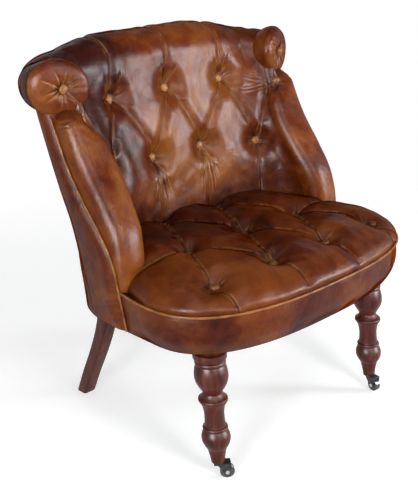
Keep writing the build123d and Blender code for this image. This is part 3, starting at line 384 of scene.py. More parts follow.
def table_curve(xs, ys, at):
    """A smooth curve through a table of values, run on straight beyond its ends."""
    xs, ys, at = np.asarray(xs, float), np.asarray(ys, float), np.asarray(at, float)
    slope = np.gradient(ys, xs)
    k = np.clip(np.searchsorted(xs, at) - 1, 0, len(xs) - 2)
    gap = xs[k + 1] - xs[k]
    inside = np.clip((at - xs[k]) / gap, 0, 1)
    value = curve_between(ys[k], gap * slope[k], ys[k + 1], gap * slope[k + 1], inside)
    return value + np.maximum(at - xs[-1], 0) * slope[-1] + np.minimum(at - xs[0], 0) * slope[0]


def squared_off(wave, power):
    """A sine or cosine pushed out towards a square."""
    return np.sign(wave) * np.abs(wave)**(2 / power)


share = np.linspace(0, 1, sabre_rows)
sweep = table_curve(*zip(*sabre_curve), share)[:, None]
turn = full_turn(sabre_around)
half = rear_half_foot + (rear_half_top - rear_half_foot) * share
half = (half * np.where(share < foot_ease_share, foot_ease, 1.0))[:, None]
for side, hand in sides:
    leg_middle = side * (rear_x_foot + (rear_x_top - rear_x_foot) * share[:, None])
    rings = rows_at(rear_top * share, leg_middle + half * squared_off(np.cos(turn), sabre_square),
                    rear_y + rear_sweep * sweep + half * squared_off(np.sin(turn), sabre_square))
    leg = tube_piece(hand + "_sabre_leg", rings, mahogany, sharp=40.0)
    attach(leg, "chair")
    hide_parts(hand + "_rear_leg")

# Casters: a black-lacquered socket let into each front leg, a horn that swivels in it on its
# stem, and a small dark wheel on a riveted steel pin.
lacquer, tree, shader, spot = new_finish("worn_black_lacquer", Metallic=0.6,
                                         Coat_Weight=0.4, Coat_Roughness=0.15)
scuffs = clouded(tree, spot, 130.0, 6.0, 0.7)
edges = add_node(tree, "ShaderNodeNewGeometry").outputs["Pointiness"]
worn = reckoned(tree, "MULTIPLY", scuffs, edges)
bared = colour_steps(tree, worn, (0.30, (0.012, 0.012, 0.013)), (0.42, (0.16, 0.12, 0.07)))
feed(tree, shader, Base_Color=bared, Roughness=ranged(tree, scuffs, 0.22, 0.5))
dress(lacquer, "left_caster_socket", "right_caster_socket", "left_caster_fork", "right_caster_fork")
wheel_glaze, tree, shader, spot = new_finish("dark_wheel", Coat_Weight=0.6, Coat_Roughness=0.1)
haze = clouded(tree, spot, 90.0, 4.0)
near_black = colour_steps(tree, haze, (0.3, (0.010, 0.009, 0.009)), (0.75, (0.045, 0.036, 0.032)))
feed(tree, shader, Base_Color=near_black, Roughness=ranged(tree, haze, 0.25, 0.45))
dress(wheel_glaze, "left_caster_wheel", "right_caster_wheel")

# Outside cover: one hide drawn round the back from wing to wing, seamed at the rear corners
# and tacked under the rails. All leather is aniline-dyed tan, with painted shade darkening its folds and
# hollows.
# the pale colour of the rubbed and painted-highlight lines, how dark the painted shade goes, and the gloss
rub_and_highlight_tan, painted_shade_darkness, leather_gloss = (0.40, 0.165, 0.052, 1), 0.22, 0.11


def leather_finish(name, deep, body, light, shine):
    """Leather: clouds of dye, painted shade in folds and hollows, pale lines of rub and painted highlight, a
    tone that also carries painted shade, fine grain and small creases.
    """
    finish, tree, shader, spot = new_finish(name)
    wide = clouded(tree, spot, 7.0, 5.0, 0.62, 0.8)
    close = clouded(tree, spot, 34.0, 6.0, 0.68, 0.4)
    # three marks from the mesh: tone with painted shade in it, painted shade, and pale rub with painted
    # highlights
    tone_and_shade, painted_shade, rub_and_highlight = (add_node(tree, "ShaderNodeAttribute", attribute_name=mark).outputs["Fac"]
                       for mark in ("tone_and_shade", "painted_shade", "rub_and_highlight"))
    toned = reckoned(tree, "ADD", reckoned(tree, "MULTIPLY_ADD", close, 0.42, wide), tone_and_shade)
    dye = colour_steps(tree, toned, (0.46, deep), (0.66, body), (0.92, light))
    # painted shade darkens towards the deep colour, and painted highlight with some rub lightens towards pale
    # tan
    dark = mixed(tree, painted_shade, dye, (*[c * painted_shade_darkness for c in deep], 1))
    pale = mixed(tree, rub_and_highlight, dark, rub_and_highlight_tan)
    pebbles = add_node(tree, "ShaderNodeTexVoronoi", {"Vector": spot, "Scale": 760.0},
                       feature="DISTANCE_TO_EDGE")
    loose = raised(tree, clouded(tree, spot, 26.0, 3.0, distortion=0.6), 0.30, 0.004)
    pebbled = raised(tree, pebbles.outputs["Distance"], 0.22, 0.0004, Normal=loose)
    creased = raised(tree, clouded(tree, spot, 150.0, 7.0, 0.6, 1.2), 0.42, 0.0012, Normal=pebbled)
    # worn leather is dull at low angles, where a smooth varnish would mirror the lamps
    low_angle = add_node(tree, "ShaderNodeLayerWeight", {"Blend": 0.5}).outputs["Facing"]
    feed(tree, shader, Base_Color=pale, Normal=creased,
         Specular_IOR_Level=ranged(tree, low_angle, leather_gloss, 0.0, 0.50, 0.76),
         Roughness=ranged(tree, close, shine - 0.07, shine + 0.05, 0.3, 0.7))
    return finish


chestnut = leather_finish("chestnut_leather", (0.036, 0.0030, 0.0006), (0.128, 0.0225, 0.003),
                          (0.262, 0.080, 0.011), 0.34)
apron_bottom, back_top = 0.270, 0.662
# height share, rake, bulge, inside width, inside lead, inside lean: the plan of the back by height
back_table = np.array((
    (0.000, 0.000, 0.17, 0.977, 1.00, 0.00), (0.205, 0.061, 0.29, 0.973, 0.71, 0.00),
    (0.362, 0.147, 0.46, 0.947, 0.44, 0.01), (0.463, 0.294, 0.77, 0.922, 0.00, 0.07),
    (0.590, 0.521, 0.96, 0.896, -0.34, 0.17), (0.742, 0.743, 0.91, 0.895, -0.51, 0.40),
    (0.881, 0.885, 0.84, 0.939, -0.59, 0.71), (1.000, 1.000, 0.78, 1.000, -0.63, 1.00)))
back_half, back_depth, back_square = 0.321, 0.190, 2.5
wing_y, wing_rake, rear_wall_y, rear_rake = -0.044, 0.187, 0.176, 0.047
edge_inset, side_setback, nose_inset, nose_reach = 0.0075, 0.022, 0.046, 0.054
inside_half, inside_lead, inside_rear_y, inside_rake = 0.256, 0.035, 0.121, 0.042


def back_plan(z):
    """The plan values of the back at each height, as columns."""
    share = (z - apron_bottom) / (back_top - apron_bottom)
    at_share, *columns = back_table.T
    rake, bulge, width, lead, lean = (table_curve(at_share, column, share) for column in columns)
    outer = back_half * np.interp(share, (0, 0.205, 0.362), (0.972, 0.991, 1.0))
    front = wing_y + wing_rake * rake + shift
    plan = {"outer": outer, "edge": outer - edge_inset, "wing_y": front, "side_y": front + side_setback,
            "rear_y": rear_wall_y + rear_rake * share + shift, "square": 3.0 - 0.8 * share,
            "nose_x": outer - nose_inset, "nose_y": front - nose_reach * bulge, "inner": inside_half * width,
            "inner_y": front + inside_lead * lead, "inner_rear": inside_rear_y + inside_rake * lean + shift}
    return {key: values[:, None] for key, values in plan.items()}


def rounded(half, middle, depth, power, turn):
    """Points of a rounded-square outline at given angles."""
    return half * squared_off(np.cos(turn), power), middle + depth * np.abs(np.sin(turn))**(2 / power)


def even_turns(half, depth, power, count):
    """Angles that space points evenly along half of a rounded-square outline, left to right."""
    dense = np.linspace(math.pi, 0, 6001)
    x, y = rounded(half, 0, depth, power, dense)
    run = np.concatenate([[0], np.cumsum(np.hypot(np.diff(x), np.diff(y)))])
    return np.interp(np.linspace(0, run[-1], count), run, dense)


def outside_rows(heights, inset, turns, edge_steps):
    """Rows of points on the outside of the back, with the short return to each wing edge."""
    at = back_plan(heights)
    half = at["outer"] - inset
    x, y = rounded(half, at["side_y"], at["rear_y"] - inset - at["side_y"], at["square"], turns)
    t = np.linspace(0, 1, edge_steps, endpoint=False)
    edge_x = -(at["edge"] - inset) * (1 - t)**2 - half * (1 - (1 - t)**2)
    edge_y = at["wing_y"] + (at["side_y"] - at["wing_y"]) * t
    x = np.concatenate([edge_x, x, -edge_x[:, ::-1]], axis=1)
    y = np.concatenate([edge_y, y, edge_y[:, ::-1]], axis=1)
    return rows_at(heights, x, y)


def normals_of(grid, facing):
    """The direction across a grid of points at each of them, on the side that faces a given way."""
    across = np.cross(np.gradient(grid, axis=1), np.gradient(grid, axis=0))
    across /= np.maximum(np.linalg.norm(across, axis=2, keepdims=True), 1e-12)
    middle = across[across.shape[0] // 2, across.shape[1] // 2]
    return across * np.sign(middle @ np.array(facing))


def row_lengths(grid):
    """The length run along each row of a grid of points."""
    steps = np.linalg.norm(np.diff(grid, axis=1), axis=2)
    return np.concatenate([np.zeros((len(grid), 1)), np.cumsum(steps, axis=1)], axis=1)


def centred_lengths(grid):
    """The length run along each row, from the row's middle, and how much is left to its end."""
    run = row_lengths(grid)
    run -= run[:, -1:] / 2
    return run, run[:, -1:] - np.abs(run)


def ripple(points, size, seed, stretch=(1, 1, 1)):
    """Gentle unevenness: twelve seeded waves in random directions, about -1 to 1."""
    rng = np.random.default_rng(seed)
    points = points * np.array(stretch)
    total = 0
    for _ in range(12):
        way = rng.normal(size=3)
        way *= 2 * math.pi / (np.linalg.norm(way) * size * rng.uniform(0.6, 1.7))
        total = total + np.sin(points @ way + rng.uniform(0, 2 * math.pi))
    return total / math.sqrt(12)


def patchy(points, seed, share=0.6):
    """Where the pale rub and painted highlight show, in patches the size of a thumb: from 0 to 1."""
    return np.clip(share + ripple(points, 0.02, seed), 0, 1)


def rise(value, start, length):
    """0 up to a start, then evenly up to 1 over a length."""
    return np.clip((value - start) / length, 0, 1)


def fade(gap, width):
    """1 where there is no gap, evenly down to 0 at a width."""
    return np.clip(1 - gap / width, 0, 1)


def bell(gap, width):
    """1 where there is no gap, softly down over a width to both sides."""
    return np.exp(-(gap / width)**2)


def sheet_piece(name, front, back, finish, marks, sharp=60.0):
    """A closed padded or leather form between a front and a back grid of points."""
    rows, cols = front.shape[:2]
    index = np.arange(rows * cols).reshape(rows, cols)
    other = index + rows * cols
    rim = np.concatenate([index[0, :-1], index[:-1, -1], index[-1, :0:-1], index[:0:-1, 0]])
    next_rim = np.roll(rim, -1)
    quads = []
    for corners in ((index[:-1, :-1], index[:-1, 1:], index[1:, 1:], index[1:, :-1]),
                    (other[:-1, :-1], other[1:, :-1], other[1:, 1:], other[:-1, 1:]),
                    (rim, rim + rows * cols, next_rim + rows * cols, next_rim)):
        quads += np.stack(corners, axis=-1).reshape(-1, 4).tolist()
    points = np.concatenate([front.reshape(-1, 3), back.reshape(-1, 3)])
    kept = {key: np.tile(np.broadcast_to(values, (rows, cols)).ravel(), 2) for key, values in marks.items()}
    return link_mesh(name, points, quads, finish, sharp, kept)


cover_thick, cover_rows, cover_cols, return_cols = 0.0025, 150, 300, 8
seam_depth, seam_width, seam_run, seam_narrowing, seam_rise = 0.0016, 0.006, 0.245, 0.012, 0.39
hem_depth, hem_height = 0.004, 0.008
heights = np.linspace(apron_bottom, back_top, cover_rows)
turns = even_turns(back_half, back_depth, back_square, cover_cols)
outside = outside_rows(heights, 0.0, turns, return_cols)
inside_face = outside_rows(heights, cover_thick, turns, return_cols)
across = normals_of(outside, (0, 1, 0))
run, run_left = centred_lengths(outside)
climbed = heights[:, None] - apron_bottom
seam_gap = np.abs(np.abs(run) - (seam_run - seam_narrowing * climbed / seam_rise))
groove = seam_depth * fade(seam_gap, seam_width)**2
edge_highlight = bell(seam_gap - seam_width * 0.75, seam_width * 0.3)
pull = 0.0009 * ripple(outside, 0.16, 3) + 0.0004 * ripple(outside, 0.03, 4, (1, 1, 0.25))
puff = 0.0012 * rise(seam_gap, 0, 0.03) - 0.0006
edge_ease = rise(run_left, 0, 0.02) * rise(climbed, 0, 0.02)
hem = hem_depth * fade(climbed, hem_height)**2
outside = outside + across * ((pull + puff) * edge_ease - groove - hem)[..., None]
# painted shade in the seam grooves, and pale rub with a painted highlight along their edges, in patches
cover = sheet_piece("outside_cover", outside, inside_face - across * hem[..., None], chestnut, {
    "painted_shade": 0.8 * groove / seam_depth, "rub_and_highlight": 0.25 * edge_highlight * patchy(outside, 5), "tone_and_shade": -0.04})
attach(cover, "chair")
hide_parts("outside_back_cover")

# Seat apron: the padded band of leather round the front of the seat rails, swollen a little
# over its wadding and turned under the rails, from one wing piping to the other.
tan = leather_finish("tan_leather", (0.024, 0.0022, 0.0004), (0.076, 0.0105, 0.0013),
                     (0.170, 0.040, 0.0055), 0.35)
seam_height, seat_half, seat_middle, seat_depth, seat_square = 0.348, 0.319, -0.116 + shift, 0.168, 2.6
apron_tuck, apron_swell, apron_thick, clearance = 0.015, 0.0025, 0.012, 0.0003
apron_steps, apron_cols, apron_side_cols = 56, 280, 16


def apron_rows(heights, insets, cols, side_cols):
    """Rows of points round the front of the seat, run on at both sides to the wing piping."""
    at, inset = back_plan(heights), insets[:, None]
    turns = even_turns(seat_half, seat_depth, seat_square, cols)
    x, y = rounded(seat_half - inset, 0, seat_depth - inset, seat_square, turns)
    end_x, end_y = at["edge"] - clearance, at["wing_y"] - clearance
    t = np.linspace(0, 1, side_cols, endpoint=False)
    side_x = end_x + (seat_half - inset - end_x) * (1 - (1 - t)**2)
    side_y = end_y + (seat_middle - end_y) * t
    return rows_at(heights, np.concatenate([-side_x, x, side_x[:, ::-1]], axis=1),
                   np.concatenate([side_y, seat_middle - y, side_y[:, ::-1]], axis=1))


share = np.linspace(0, 1, apron_steps)
heights = np.linspace(apron_bottom, seam_height, apron_steps)
insets = (apron_tuck * table_curve((0, 0.32, 0.64, 1), (1.0, 0.20, 0.0, 0.0), share)
          - apron_swell * np.sin(math.pi * np.clip(share * 1.05, 0, 1))**0.8)
apron_front = apron_rows(heights, insets, apron_cols, apron_side_cols)
apron_back = apron_rows(heights, insets + apron_thick, apron_cols, apron_side_cols)
across = normals_of(apron_front, (0, -1, 0))
run, run_left = centred_lengths(apron_front)
share = share[:, None]
sag = 0.0009 * ripple(apron_front, 0.10, 11, (1, 1, 0.6)) + 0.0002 * ripple(apron_front, 0.045, 12)
ease = rise(run_left, 0, 0.02) * rise(share, 0, 0.1) * rise(1 - share, 0, 0.12)
apron_front = apron_front + across * (sag * ease)[..., None]
# painted shade: darker at the bottom, where the band turns under the rails, and at the top under the piping
apron = sheet_piece("seat_band", apron_front, apron_back, tan, {
    "painted_shade": 0.35 * fade(share, 0.3)**1.5 + 0.45 * rise(share, 0.93, 0.07), "rub_and_highlight": 0.0,
    "tone_and_shade": 0.01 + 0.06 * ripple(apron_front, 0.12, 13)})
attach(apron, "chair")
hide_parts("seat_apron")


# Seat cushion: hair and wadding sewn down over the springs, crowned high, and drawn down by
# nine buttons, with the leather's spare fullness laid in pleats between them.
def line_gap(flat, line):
    """How far each flat point lies from a line of points, and how far along the line it is."""
    best = np.full(flat.shape[:-1], 9.0)
    where = np.zeros(flat.shape[:-1])
    steps = len(line) - 1
    for k in range(steps):
        start, way = line[k], line[k + 1] - line[k]
        t = np.clip(((flat - start) @ way) / max(way @ way, 1e-12), 0, 1)
        gap = np.linalg.norm(flat - start - t[..., None] * way, axis=-1)
        nearer = gap < best
        best = np.where(nearer, gap, best)
        where = np.where(nearer, (k + t) / steps, where)
    return best, where


def bent_line(first, last, bend=0.0):
    """A gently curved line of seven points between two flat points."""
    first, last = np.array(first, float), np.array(last, float)
    t = np.linspace(0, 1, 7)[:, None]
    aside = np.array((-(last - first)[1], (last - first)[0]))
    return first + (last - first) * t + aside * (bend * 4 * t * (1 - t))


def drawn_in(gap, depth, foot, reach, power=2.1):
    """A hollow's depth to the fourth power, in which hollows add up: full on its foot, none at its reach."""
    return (depth * (1 - rise(gap, foot, reach - foot))**power)**4


def tufted(flat, buttons, folds, creases):
    """How deep the leather is drawn in, with masks for painted shade along its pleats and creases and a
    painted highlight beside them.
    A button is (place, depth, reach), a pleat or crease is (line, depths along it, width)."""
    press, fine, edge_highlight, cleft_shade = (np.zeros(flat.shape[:-1]) for _ in range(4))
    for place, depth, reach in buttons:
        press = press + drawn_in(np.linalg.norm(flat - np.array(place), axis=-1), depth, button_foot, reach)
    for line, depths, width in folds:
        gap, along = line_gap(flat, line)
        depth = np.interp(along, np.linspace(0, 1, len(depths)), depths)
        press = press + drawn_in(gap, depth, 0, width, 1.9)
        # painted shade along the bottom of each pleat, and a painted highlight along its edge
        cleft_shade = np.maximum(cleft_shade, bell(gap, 0.0015) * rise(depth, 0, 0.005))
        taper = np.sin(math.pi * np.clip(along * 0.9 + 0.1, 0, 1))
        edge_highlight = np.maximum(edge_highlight, bell(gap - 0.0030, 0.0012) * rise(depth, 0, 0.003) * taper)
    for line, depths, width in creases:
        gap, along = line_gap(flat, line)
        depth = np.interp(along, np.linspace(0, 1, len(depths)), depths)
        fine = fine + depth * fade(gap, width)**2 - 0.5 * depth * bell(gap - width * 1.3, width * 0.6)
        sharpness = rise(depth, 0, 0.0012)
        edge_highlight = np.maximum(edge_highlight, 0.6 * bell(gap - width * 0.9, width * 0.45) * sharpness)
        cleft_shade = np.maximum(cleft_shade, 0.7 * bell(gap, width * 0.4) * sharpness)
    return press**0.25 + fine, cleft_shade, edge_highlight


def star(rng, place, count, near, far, depth):
    """Short creases that run out from a button."""
    rays = []
    for _ in range(count):
        turn = rng.uniform(0.0, 2 * math.pi)
        way = np.array((math.cos(turn), math.sin(turn)))
        reach = rng.uniform(0.6, 1.0) * far
        rays.append((bent_line(place + way * near, place + way * reach, rng.uniform(-0.12, 0.12)),
                     (depth * rng.uniform(0.5, 1), 0.0), rng.uniform(0.0028, 0.0045)))
    return rays


crown, crown_inset, seat_rear = 0.054, 0.092, 0.128 + shift
cushion_base = seam_height + clearance
rim_share = np.array((0.0, 0.17, 0.37, 0.56, 0.73, 0.88, 1.0))
rim_inset = np.array((0.0, -0.01, 0.07, 0.22, 0.43, 0.70, 1.0))
rim_steps = np.hypot(np.diff(rim_share * crown), np.diff(rim_inset * crown_inset))
rim_run = np.concatenate([[0], np.cumsum(rim_steps)]) / rim_steps.sum()
across_steps, along_steps, flat_part = 300, 240, 0.63
s, t = np.meshgrid(np.linspace(-1, 1, across_steps), np.linspace(-1, 1, along_steps))
ring = np.maximum(np.maximum(np.abs(s), np.abs(t)), 1e-6)
way_x, way_y = s / ring * seat_half, t / ring * np.where(t < 0, seat_depth, seat_rear - seat_middle)


def ring_point(inset):
    """The point in each direction from the seat's middle on its outline at an inset."""
    half, depth, back = seat_half - inset, seat_depth - inset, seat_rear - seat_middle - 0.2 * inset
    front = (np.abs(way_x / half)**seat_square + np.abs(way_y / depth)**seat_square)**(-1 / seat_square)
    narrowed = np.abs(way_x) + 0.2 * half * np.maximum(way_y, 0) / back
    rear = np.minimum(back / np.maximum(way_y, 1e-9), half / narrowed)
    scale = np.where(way_y < 0, front, rear)
    return way_x * scale, way_y * scale


rim = rise(1 - ring, 0, 1 - flat_part)
inward = rise(ring, 0, flat_part)
x, y = ring_point(crown_inset * table_curve(rim_run, rim_inset, rim))
height = cushion_base + crown * table_curve(rim_run, rim_share, rim)
top = np.stack([x * inward, seat_middle + y * inward, height], axis=2)
x, y = ring_point(0.0)
bottom = np.stack([x * ring, seat_middle + y * ring, np.full_like(x, cushion_base)], axis=2)
across = normals_of(top, (0, 0, 1))
pitch, row_step, row_front = 0.152, 0.145, -0.195 + shift
front_row = [(k * pitch, row_front) for k in (-1.5, -0.5, 0.5, 1.5)]
middle_row = [(k * pitch, row_front + row_step) for k in (-1, 0, 1)]
rear_row = [(k * pitch, row_front + 2 * row_step) for k in (-0.5, 0.5)]
seat_places = front_row + middle_row + rear_row
button_foot, button_depth, button_reach = 0.008, 0.0235, 0.062
pleat = (0.017, 0.0085, 0.0065, 0.0085, 0.017)
pleat_width, side_pleat_width, edge_pleat_width = 0.034, 0.028, 0.026
buttons = [(place, button_depth, button_reach) for place in seat_places]
folds, creases = [], []
for row, behind in ((front_row, middle_row), (middle_row, rear_row)):
    for k, place in enumerate(behind):
        folds.append((bent_line(row[k], place, 0.05), pleat, pleat_width))
        folds.append((bent_line(row[k + 1], place, -0.05), pleat, pleat_width))
for x, y in front_row:
    line = bent_line((x, y), (x * 1.05, -0.300), math.copysign(0.06, -x))
    folds.append((line, (0.017, 0.008, 0.006, 0.0045, 0.0035), edge_pleat_width))
for x, y in (middle_row[0], middle_row[-1]):
    line = bent_line((x, y), (math.copysign(0.33, x), y + 0.01), math.copysign(0.05, -x))
    folds.append((line, (0.017, 0.008, 0.0065, 0.0045, 0.004), side_pleat_width))
for x, y in rear_row:
    folds.append((bent_line((x, y), (x, 0.2)), (0.017, 0.0085, 0.007), side_pleat_width))
rng = np.random.default_rng(21)
for place in seat_places:
    creases += star(rng, place, 9, 0.012, 0.042, 0.0016)
press, cleft_shade, edge_highlight = tufted(top[..., :2], buttons, folds, creases)
lumps = 0.0014 * ripple(top, 0.13, 22) + 0.0004 * ripple(top, 0.04, 23)
puff = 0.003 * fade(press, 0.010) * np.clip(rim * 1.4, 0, 1)
top = top + across * ((lumps + puff - press) * rise(1 - ring, 0, 0.05))[..., None]
# painted shade: darker in the button hollows, along the pleats and towards the rear of the seat; a painted
# highlight beside the pleats
deep = rise(press, 0, button_depth)
shade = 0.04 * deep + 0.22 * rise(top[..., 1], -0.22, 0.26)
cushion = sheet_piece("seat_cushion", top, bottom, tan, {
    "painted_shade": np.clip(cleft_shade * 0.85 + 0.30 * deep, 0, 0.9),
    "rub_and_highlight": edge_highlight * 0.55 * patchy(top, 24, 0.7),
    "tone_and_shade": 0.09 + 0.04 * ripple(top, 0.16, 25) - shade}, sharp=75.0)
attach(cushion, "chair")
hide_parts("buttoned_seat")

# Seat piping: a cord rolled in a strip of leather, rubbed paler than the rest, and sewn into
# the seam between the cushion and the apron, ending against each wing.
pale_tan = leather_finish("piping_leather", (0.085, 0.024, 0.006), (0.175, 0.058, 0.014),
                          (0.270, 0.108, 0.030), 0.34)
cord_step, cord_around = 0.004, 14


def cord_piece(name, path, radius, finish, seed):
    """A rolled cord along a line of points, a little uneven and rubbed pale in places."""
    run = np.concatenate([[0], np.cumsum(np.linalg.norm(np.diff(path, axis=0), axis=1))])
    at = np.linspace(0, run[-1], max(int(run[-1] / cord_step), 8))
    path = np.stack([table_curve(run, path[:, k], at) for k in range(3)], axis=1)
    ahead = np.gradient(path, axis=0)
    ahead /= np.linalg.norm(ahead, axis=1, keepdims=True)
    lean = np.array((0, 0, 1.0)) if abs(ahead[0, 2]) < 0.7 else np.array((0, 1.0, 0))
    aside = np.cross(ahead, lean)
    aside /= np.linalg.norm(aside, axis=1, keepdims=True)
    over = np.cross(aside, ahead)
    turn = full_turn(cord_around)
    swell = radius * (1 + 0.05 * ripple(path, 0.012, seed))[:, None]
    rings = (path[:, None, :] + (swell * np.cos(turn))[..., None] * aside[:, None, :]
             + (swell * np.sin(turn))[..., None] * over[:, None, :])
    wear = np.clip(0.35 + 0.4 * ripple(rings, 0.03, seed + 1), 0, 0.8)
    return tube_piece(name, rings, finish, marks={"painted_shade": 0.0, "rub_and_highlight": wear, "tone_and_shade": 0.02})


piping_radius = 0.0022
outset = -(0.0005 + piping_radius)
line = apron_rows(np.array([seam_height]), np.array([outset]), 120, 6)[0]
line[0] += np.array((outset, outset, 0))
line[-1] += np.array((-outset, outset, 0))
piping = cord_piece("seat_piping_cord", line, piping_radius, pale_tan, 31)
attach(piping, "chair")
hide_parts("seat_piping")

# Inside back: a padded hide that lines the tub from wing to wing, drawn in by nine buttons in
# two rows, with diamond pleats between them and straight ones down to the seat and up to the roll.
roll_half, roll_end_y, roll_rear_y, roll_corner = 0.292, 0.154 + shift, 0.230 + shift, 0.062
roll_height, roll_drop, roll_radius, roll_end_radius = 0.706, 0.013, 0.058, 0.047
roll_blend, roll_flat = 0.36, 0.92
corner_x, depth = roll_half - roll_corner, roll_rear_y - roll_end_y
flat_arc = (corner_x**2 + depth**2 - roll_corner**2) / (2 * (depth - roll_corner))
meet = math.atan2(flat_arc - depth, corner_x)
half_run = roll_corner * meet + flat_arc * (math.pi / 2 - meet)


def smooth(share):
    """A soft step from 0 to 1."""
    share = np.clip(share, 0, 1)
    return share * share * (3 - 2 * share)


def roll_line(share):
    """The roll's axis by its share of length from the right end: place, direction and radius."""
    hand = np.where(share <= 0.5, 1.0, -1.0)
    way = 2 * half_run * np.minimum(share, 1 - share)
    on_corner = way < roll_corner * meet
    turn = np.where(on_corner, way / roll_corner, meet + (way - roll_corner * meet) / flat_arc)
    bend = np.where(on_corner, roll_corner, flat_arc)
    x = np.where(on_corner, corner_x, 0) + bend * np.cos(turn)
    y = np.where(on_corner, roll_end_y, roll_rear_y - flat_arc) + bend * np.sin(turn)
    eased = np.sin(np.minimum(1, np.minimum(share, 1 - share) / roll_blend) * math.pi / 2)
    place = np.stack([hand * x, y, roll_height - roll_drop * (1 - eased)], axis=1)
    direction = np.stack([-np.sin(turn), hand * np.cos(turn), 0 * turn], axis=1)
    return place, direction, roll_end_radius + (roll_radius - roll_end_radius) * eased


def roll_top(x):
    """How far the roll's upper half is pressed down: more towards its ends."""
    return roll_flat - 0.09 * smooth((np.abs(x) - 0.13) / 0.12)


lining_cols, lining_half, lining_depth, lining_square, lining_thick = 360, 0.24, 0.10, 2.35, 0.03
lining_bottom, seat_line, lining_top, hidden_rows, shown_rows = 0.362, 0.43, 0.640, 20, 116
bend_rows, crest_rows, spine_steps = 36, 66, 1201
crest_half, crest_fade, crest_y, crest_rise = 0.236, 0.09, 0.125, 0.02
heights = np.concatenate([np.linspace(lining_bottom, seat_line, hidden_rows, endpoint=False),
                          np.linspace(seat_line, lining_top, shown_rows)])
at = back_plan(heights)
turns = even_turns(lining_half, lining_depth, lining_square, lining_cols)
inner_depth = at["inner_rear"] - at["inner_y"]
wall, wall_back = (
    rows_at(heights, *rounded(at["inner"] + out, at["inner_y"], inner_depth + out, lining_square, turns))
    for out in (0.0, lining_thick))
# above the wall the hide runs on in one curve and over the crest of the roll
spine, _, spine_radius = roll_line(np.linspace(0, 1, spine_steps))
wall_top_row = wall[-1]
nearest = np.linalg.norm(spine[None, :, :2] - wall_top_row[:, None, :2], axis=2).argmin(axis=1)
under, size = spine[nearest], spine_radius[nearest]
toward = np.concatenate([wall_top_row[:, :2] - under[:, :2], np.zeros((lining_cols, 1))], axis=1)
toward /= np.linalg.norm(toward, axis=1, keepdims=True)
climb = wall[-1] - wall[-2]
climb /= np.linalg.norm(climb, axis=1, keepdims=True)
over_roll = smooth((crest_half - np.abs(wall_top_row[:, 0])) / crest_fade)
over_roll = over_roll * smooth((wall_top_row[:, 1] - crest_y) / crest_rise)
upright = np.array((0, 0, 1.0))


def crest_point(angle):
    """Where the hide lies on the roll at an angle up from its front, sunk past the corners and behind."""
    far = size + 0.0015 * over_roll - 0.007 * (1 - over_roll) - 0.005 * smooth((angle - 1.75) / 0.5)
    forward, lift = far * math.cos(angle), far * roll_top(under[:, 0]) * math.sin(angle)
    return under + forward[:, None] * toward + lift[:, None] * upright


first_angle, last_angle = 0.14, 2.25
landing = crest_point(first_angle)
length = np.linalg.norm(landing - wall_top_row, axis=1, keepdims=True)
arrive = length * (-math.sin(first_angle) * toward + math.cos(first_angle) * upright)
bend = [curve_between(wall_top_row, length * climb, landing, arrive, t)
        for t in np.linspace(0, 1, bend_rows)[1:]]
crest = [crest_point(angle) for angle in np.linspace(first_angle, last_angle, crest_rows)[1:]]
lining = np.concatenate([wall, np.array(bend), np.array(crest)])
rows, wall_rows = len(lining), len(wall)
across = normals_of(lining, (0, -1, 0))
run, _ = centred_lengths(wall)
run = np.concatenate([run, np.broadcast_to(run[-1], (rows - wall_rows, lining_cols))])
# the hide laid flat: across it, and up it by height on the wall and by length over the roll
climbed = heights[-1] + np.cumsum(np.linalg.norm(np.diff(lining[wall_rows - 1:], axis=0), axis=2), axis=0)
flat = np.stack([run, np.concatenate([wall[..., 2], climbed])], axis=2)
rolled_over = np.concatenate([np.zeros(wall_rows), np.linspace(0, 1, rows - wall_rows)])[:, None]


button_span = 0.026


def button_axes(node, towards):
    """The middle of each button's foot and the way it faces, from its CAD solid."""
    left = np.array([v.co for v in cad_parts[node].data.vertices])
    found = []
    while len(left):
        one = np.linalg.norm(left - left[0], axis=1) < button_span
        group, left = left[one], left[~one]
        middle = (group.min(axis=0) + group.max(axis=0)) / 2
        way = np.linalg.svd(group - group.mean(axis=0), full_matrices=False)[2][2]
        way *= np.sign((np.array(towards) - middle) @ way)
        found.append((middle + way * ((group - middle) @ way).min(), way))
    return found


def nearest_place(grid, spot, flat):
    """The flat place of the point of a grid that lies nearest to a spot."""
    gap = np.linalg.norm(grid - spot, axis=2)
    return flat[np.unravel_index(np.argmin(gap), gap.shape)]


back_hollow, back_reach, flank_hollow, flank_reach = 0.0195, 0.056, 0.0165, 0.048
face_lift, row_split, flank_x, pleat_foot, pleat_top = 0.019, 0.58, 0.24, 0.385, 0.86
back_axes = button_axes("back_buttons", (0, -0.3, 0.6))
back_spots = [foot + way * face_lift for foot, way in back_axes]
flank_spots = [spot for spot in back_spots if abs(spot[0]) > flank_x]


def flank_press(grid):
    """The hollow round the outer upper buttons, which sit where the inside back meets the wings."""
    return sum(drawn_in(np.linalg.norm(grid - middle, axis=-1), flank_hollow, button_foot, flank_reach)
               for middle in flank_spots)


places = sorted((nearest_place(lining, spot, flat) for spot in back_spots), key=lambda place: place[0])
upper = [place for place in places if place[1] > row_split]
lower = [place for place in places if place[1] <= row_split]
buttons = [(place, back_hollow, back_reach) for place in upper[1:-1] + lower]
folds, creases = [], []
rng = np.random.default_rng(41)


def fine_pulls(place, spreads, gather, first, near, far, depth):
    """Fine creases that spread up or down from a button and end at a distance between near and far."""
    way = math.copysign(1, first)
    for spread in spreads:
        start = (place[0] + spread * gather, place[1] + first)
        end = (place[0] + spread, place[1] + way * rng.uniform(near, far))
        creases.append((bent_line(start, end, rng.uniform(-0.05, 0.05)), (0.0010, depth, 0.0), 0.0045))


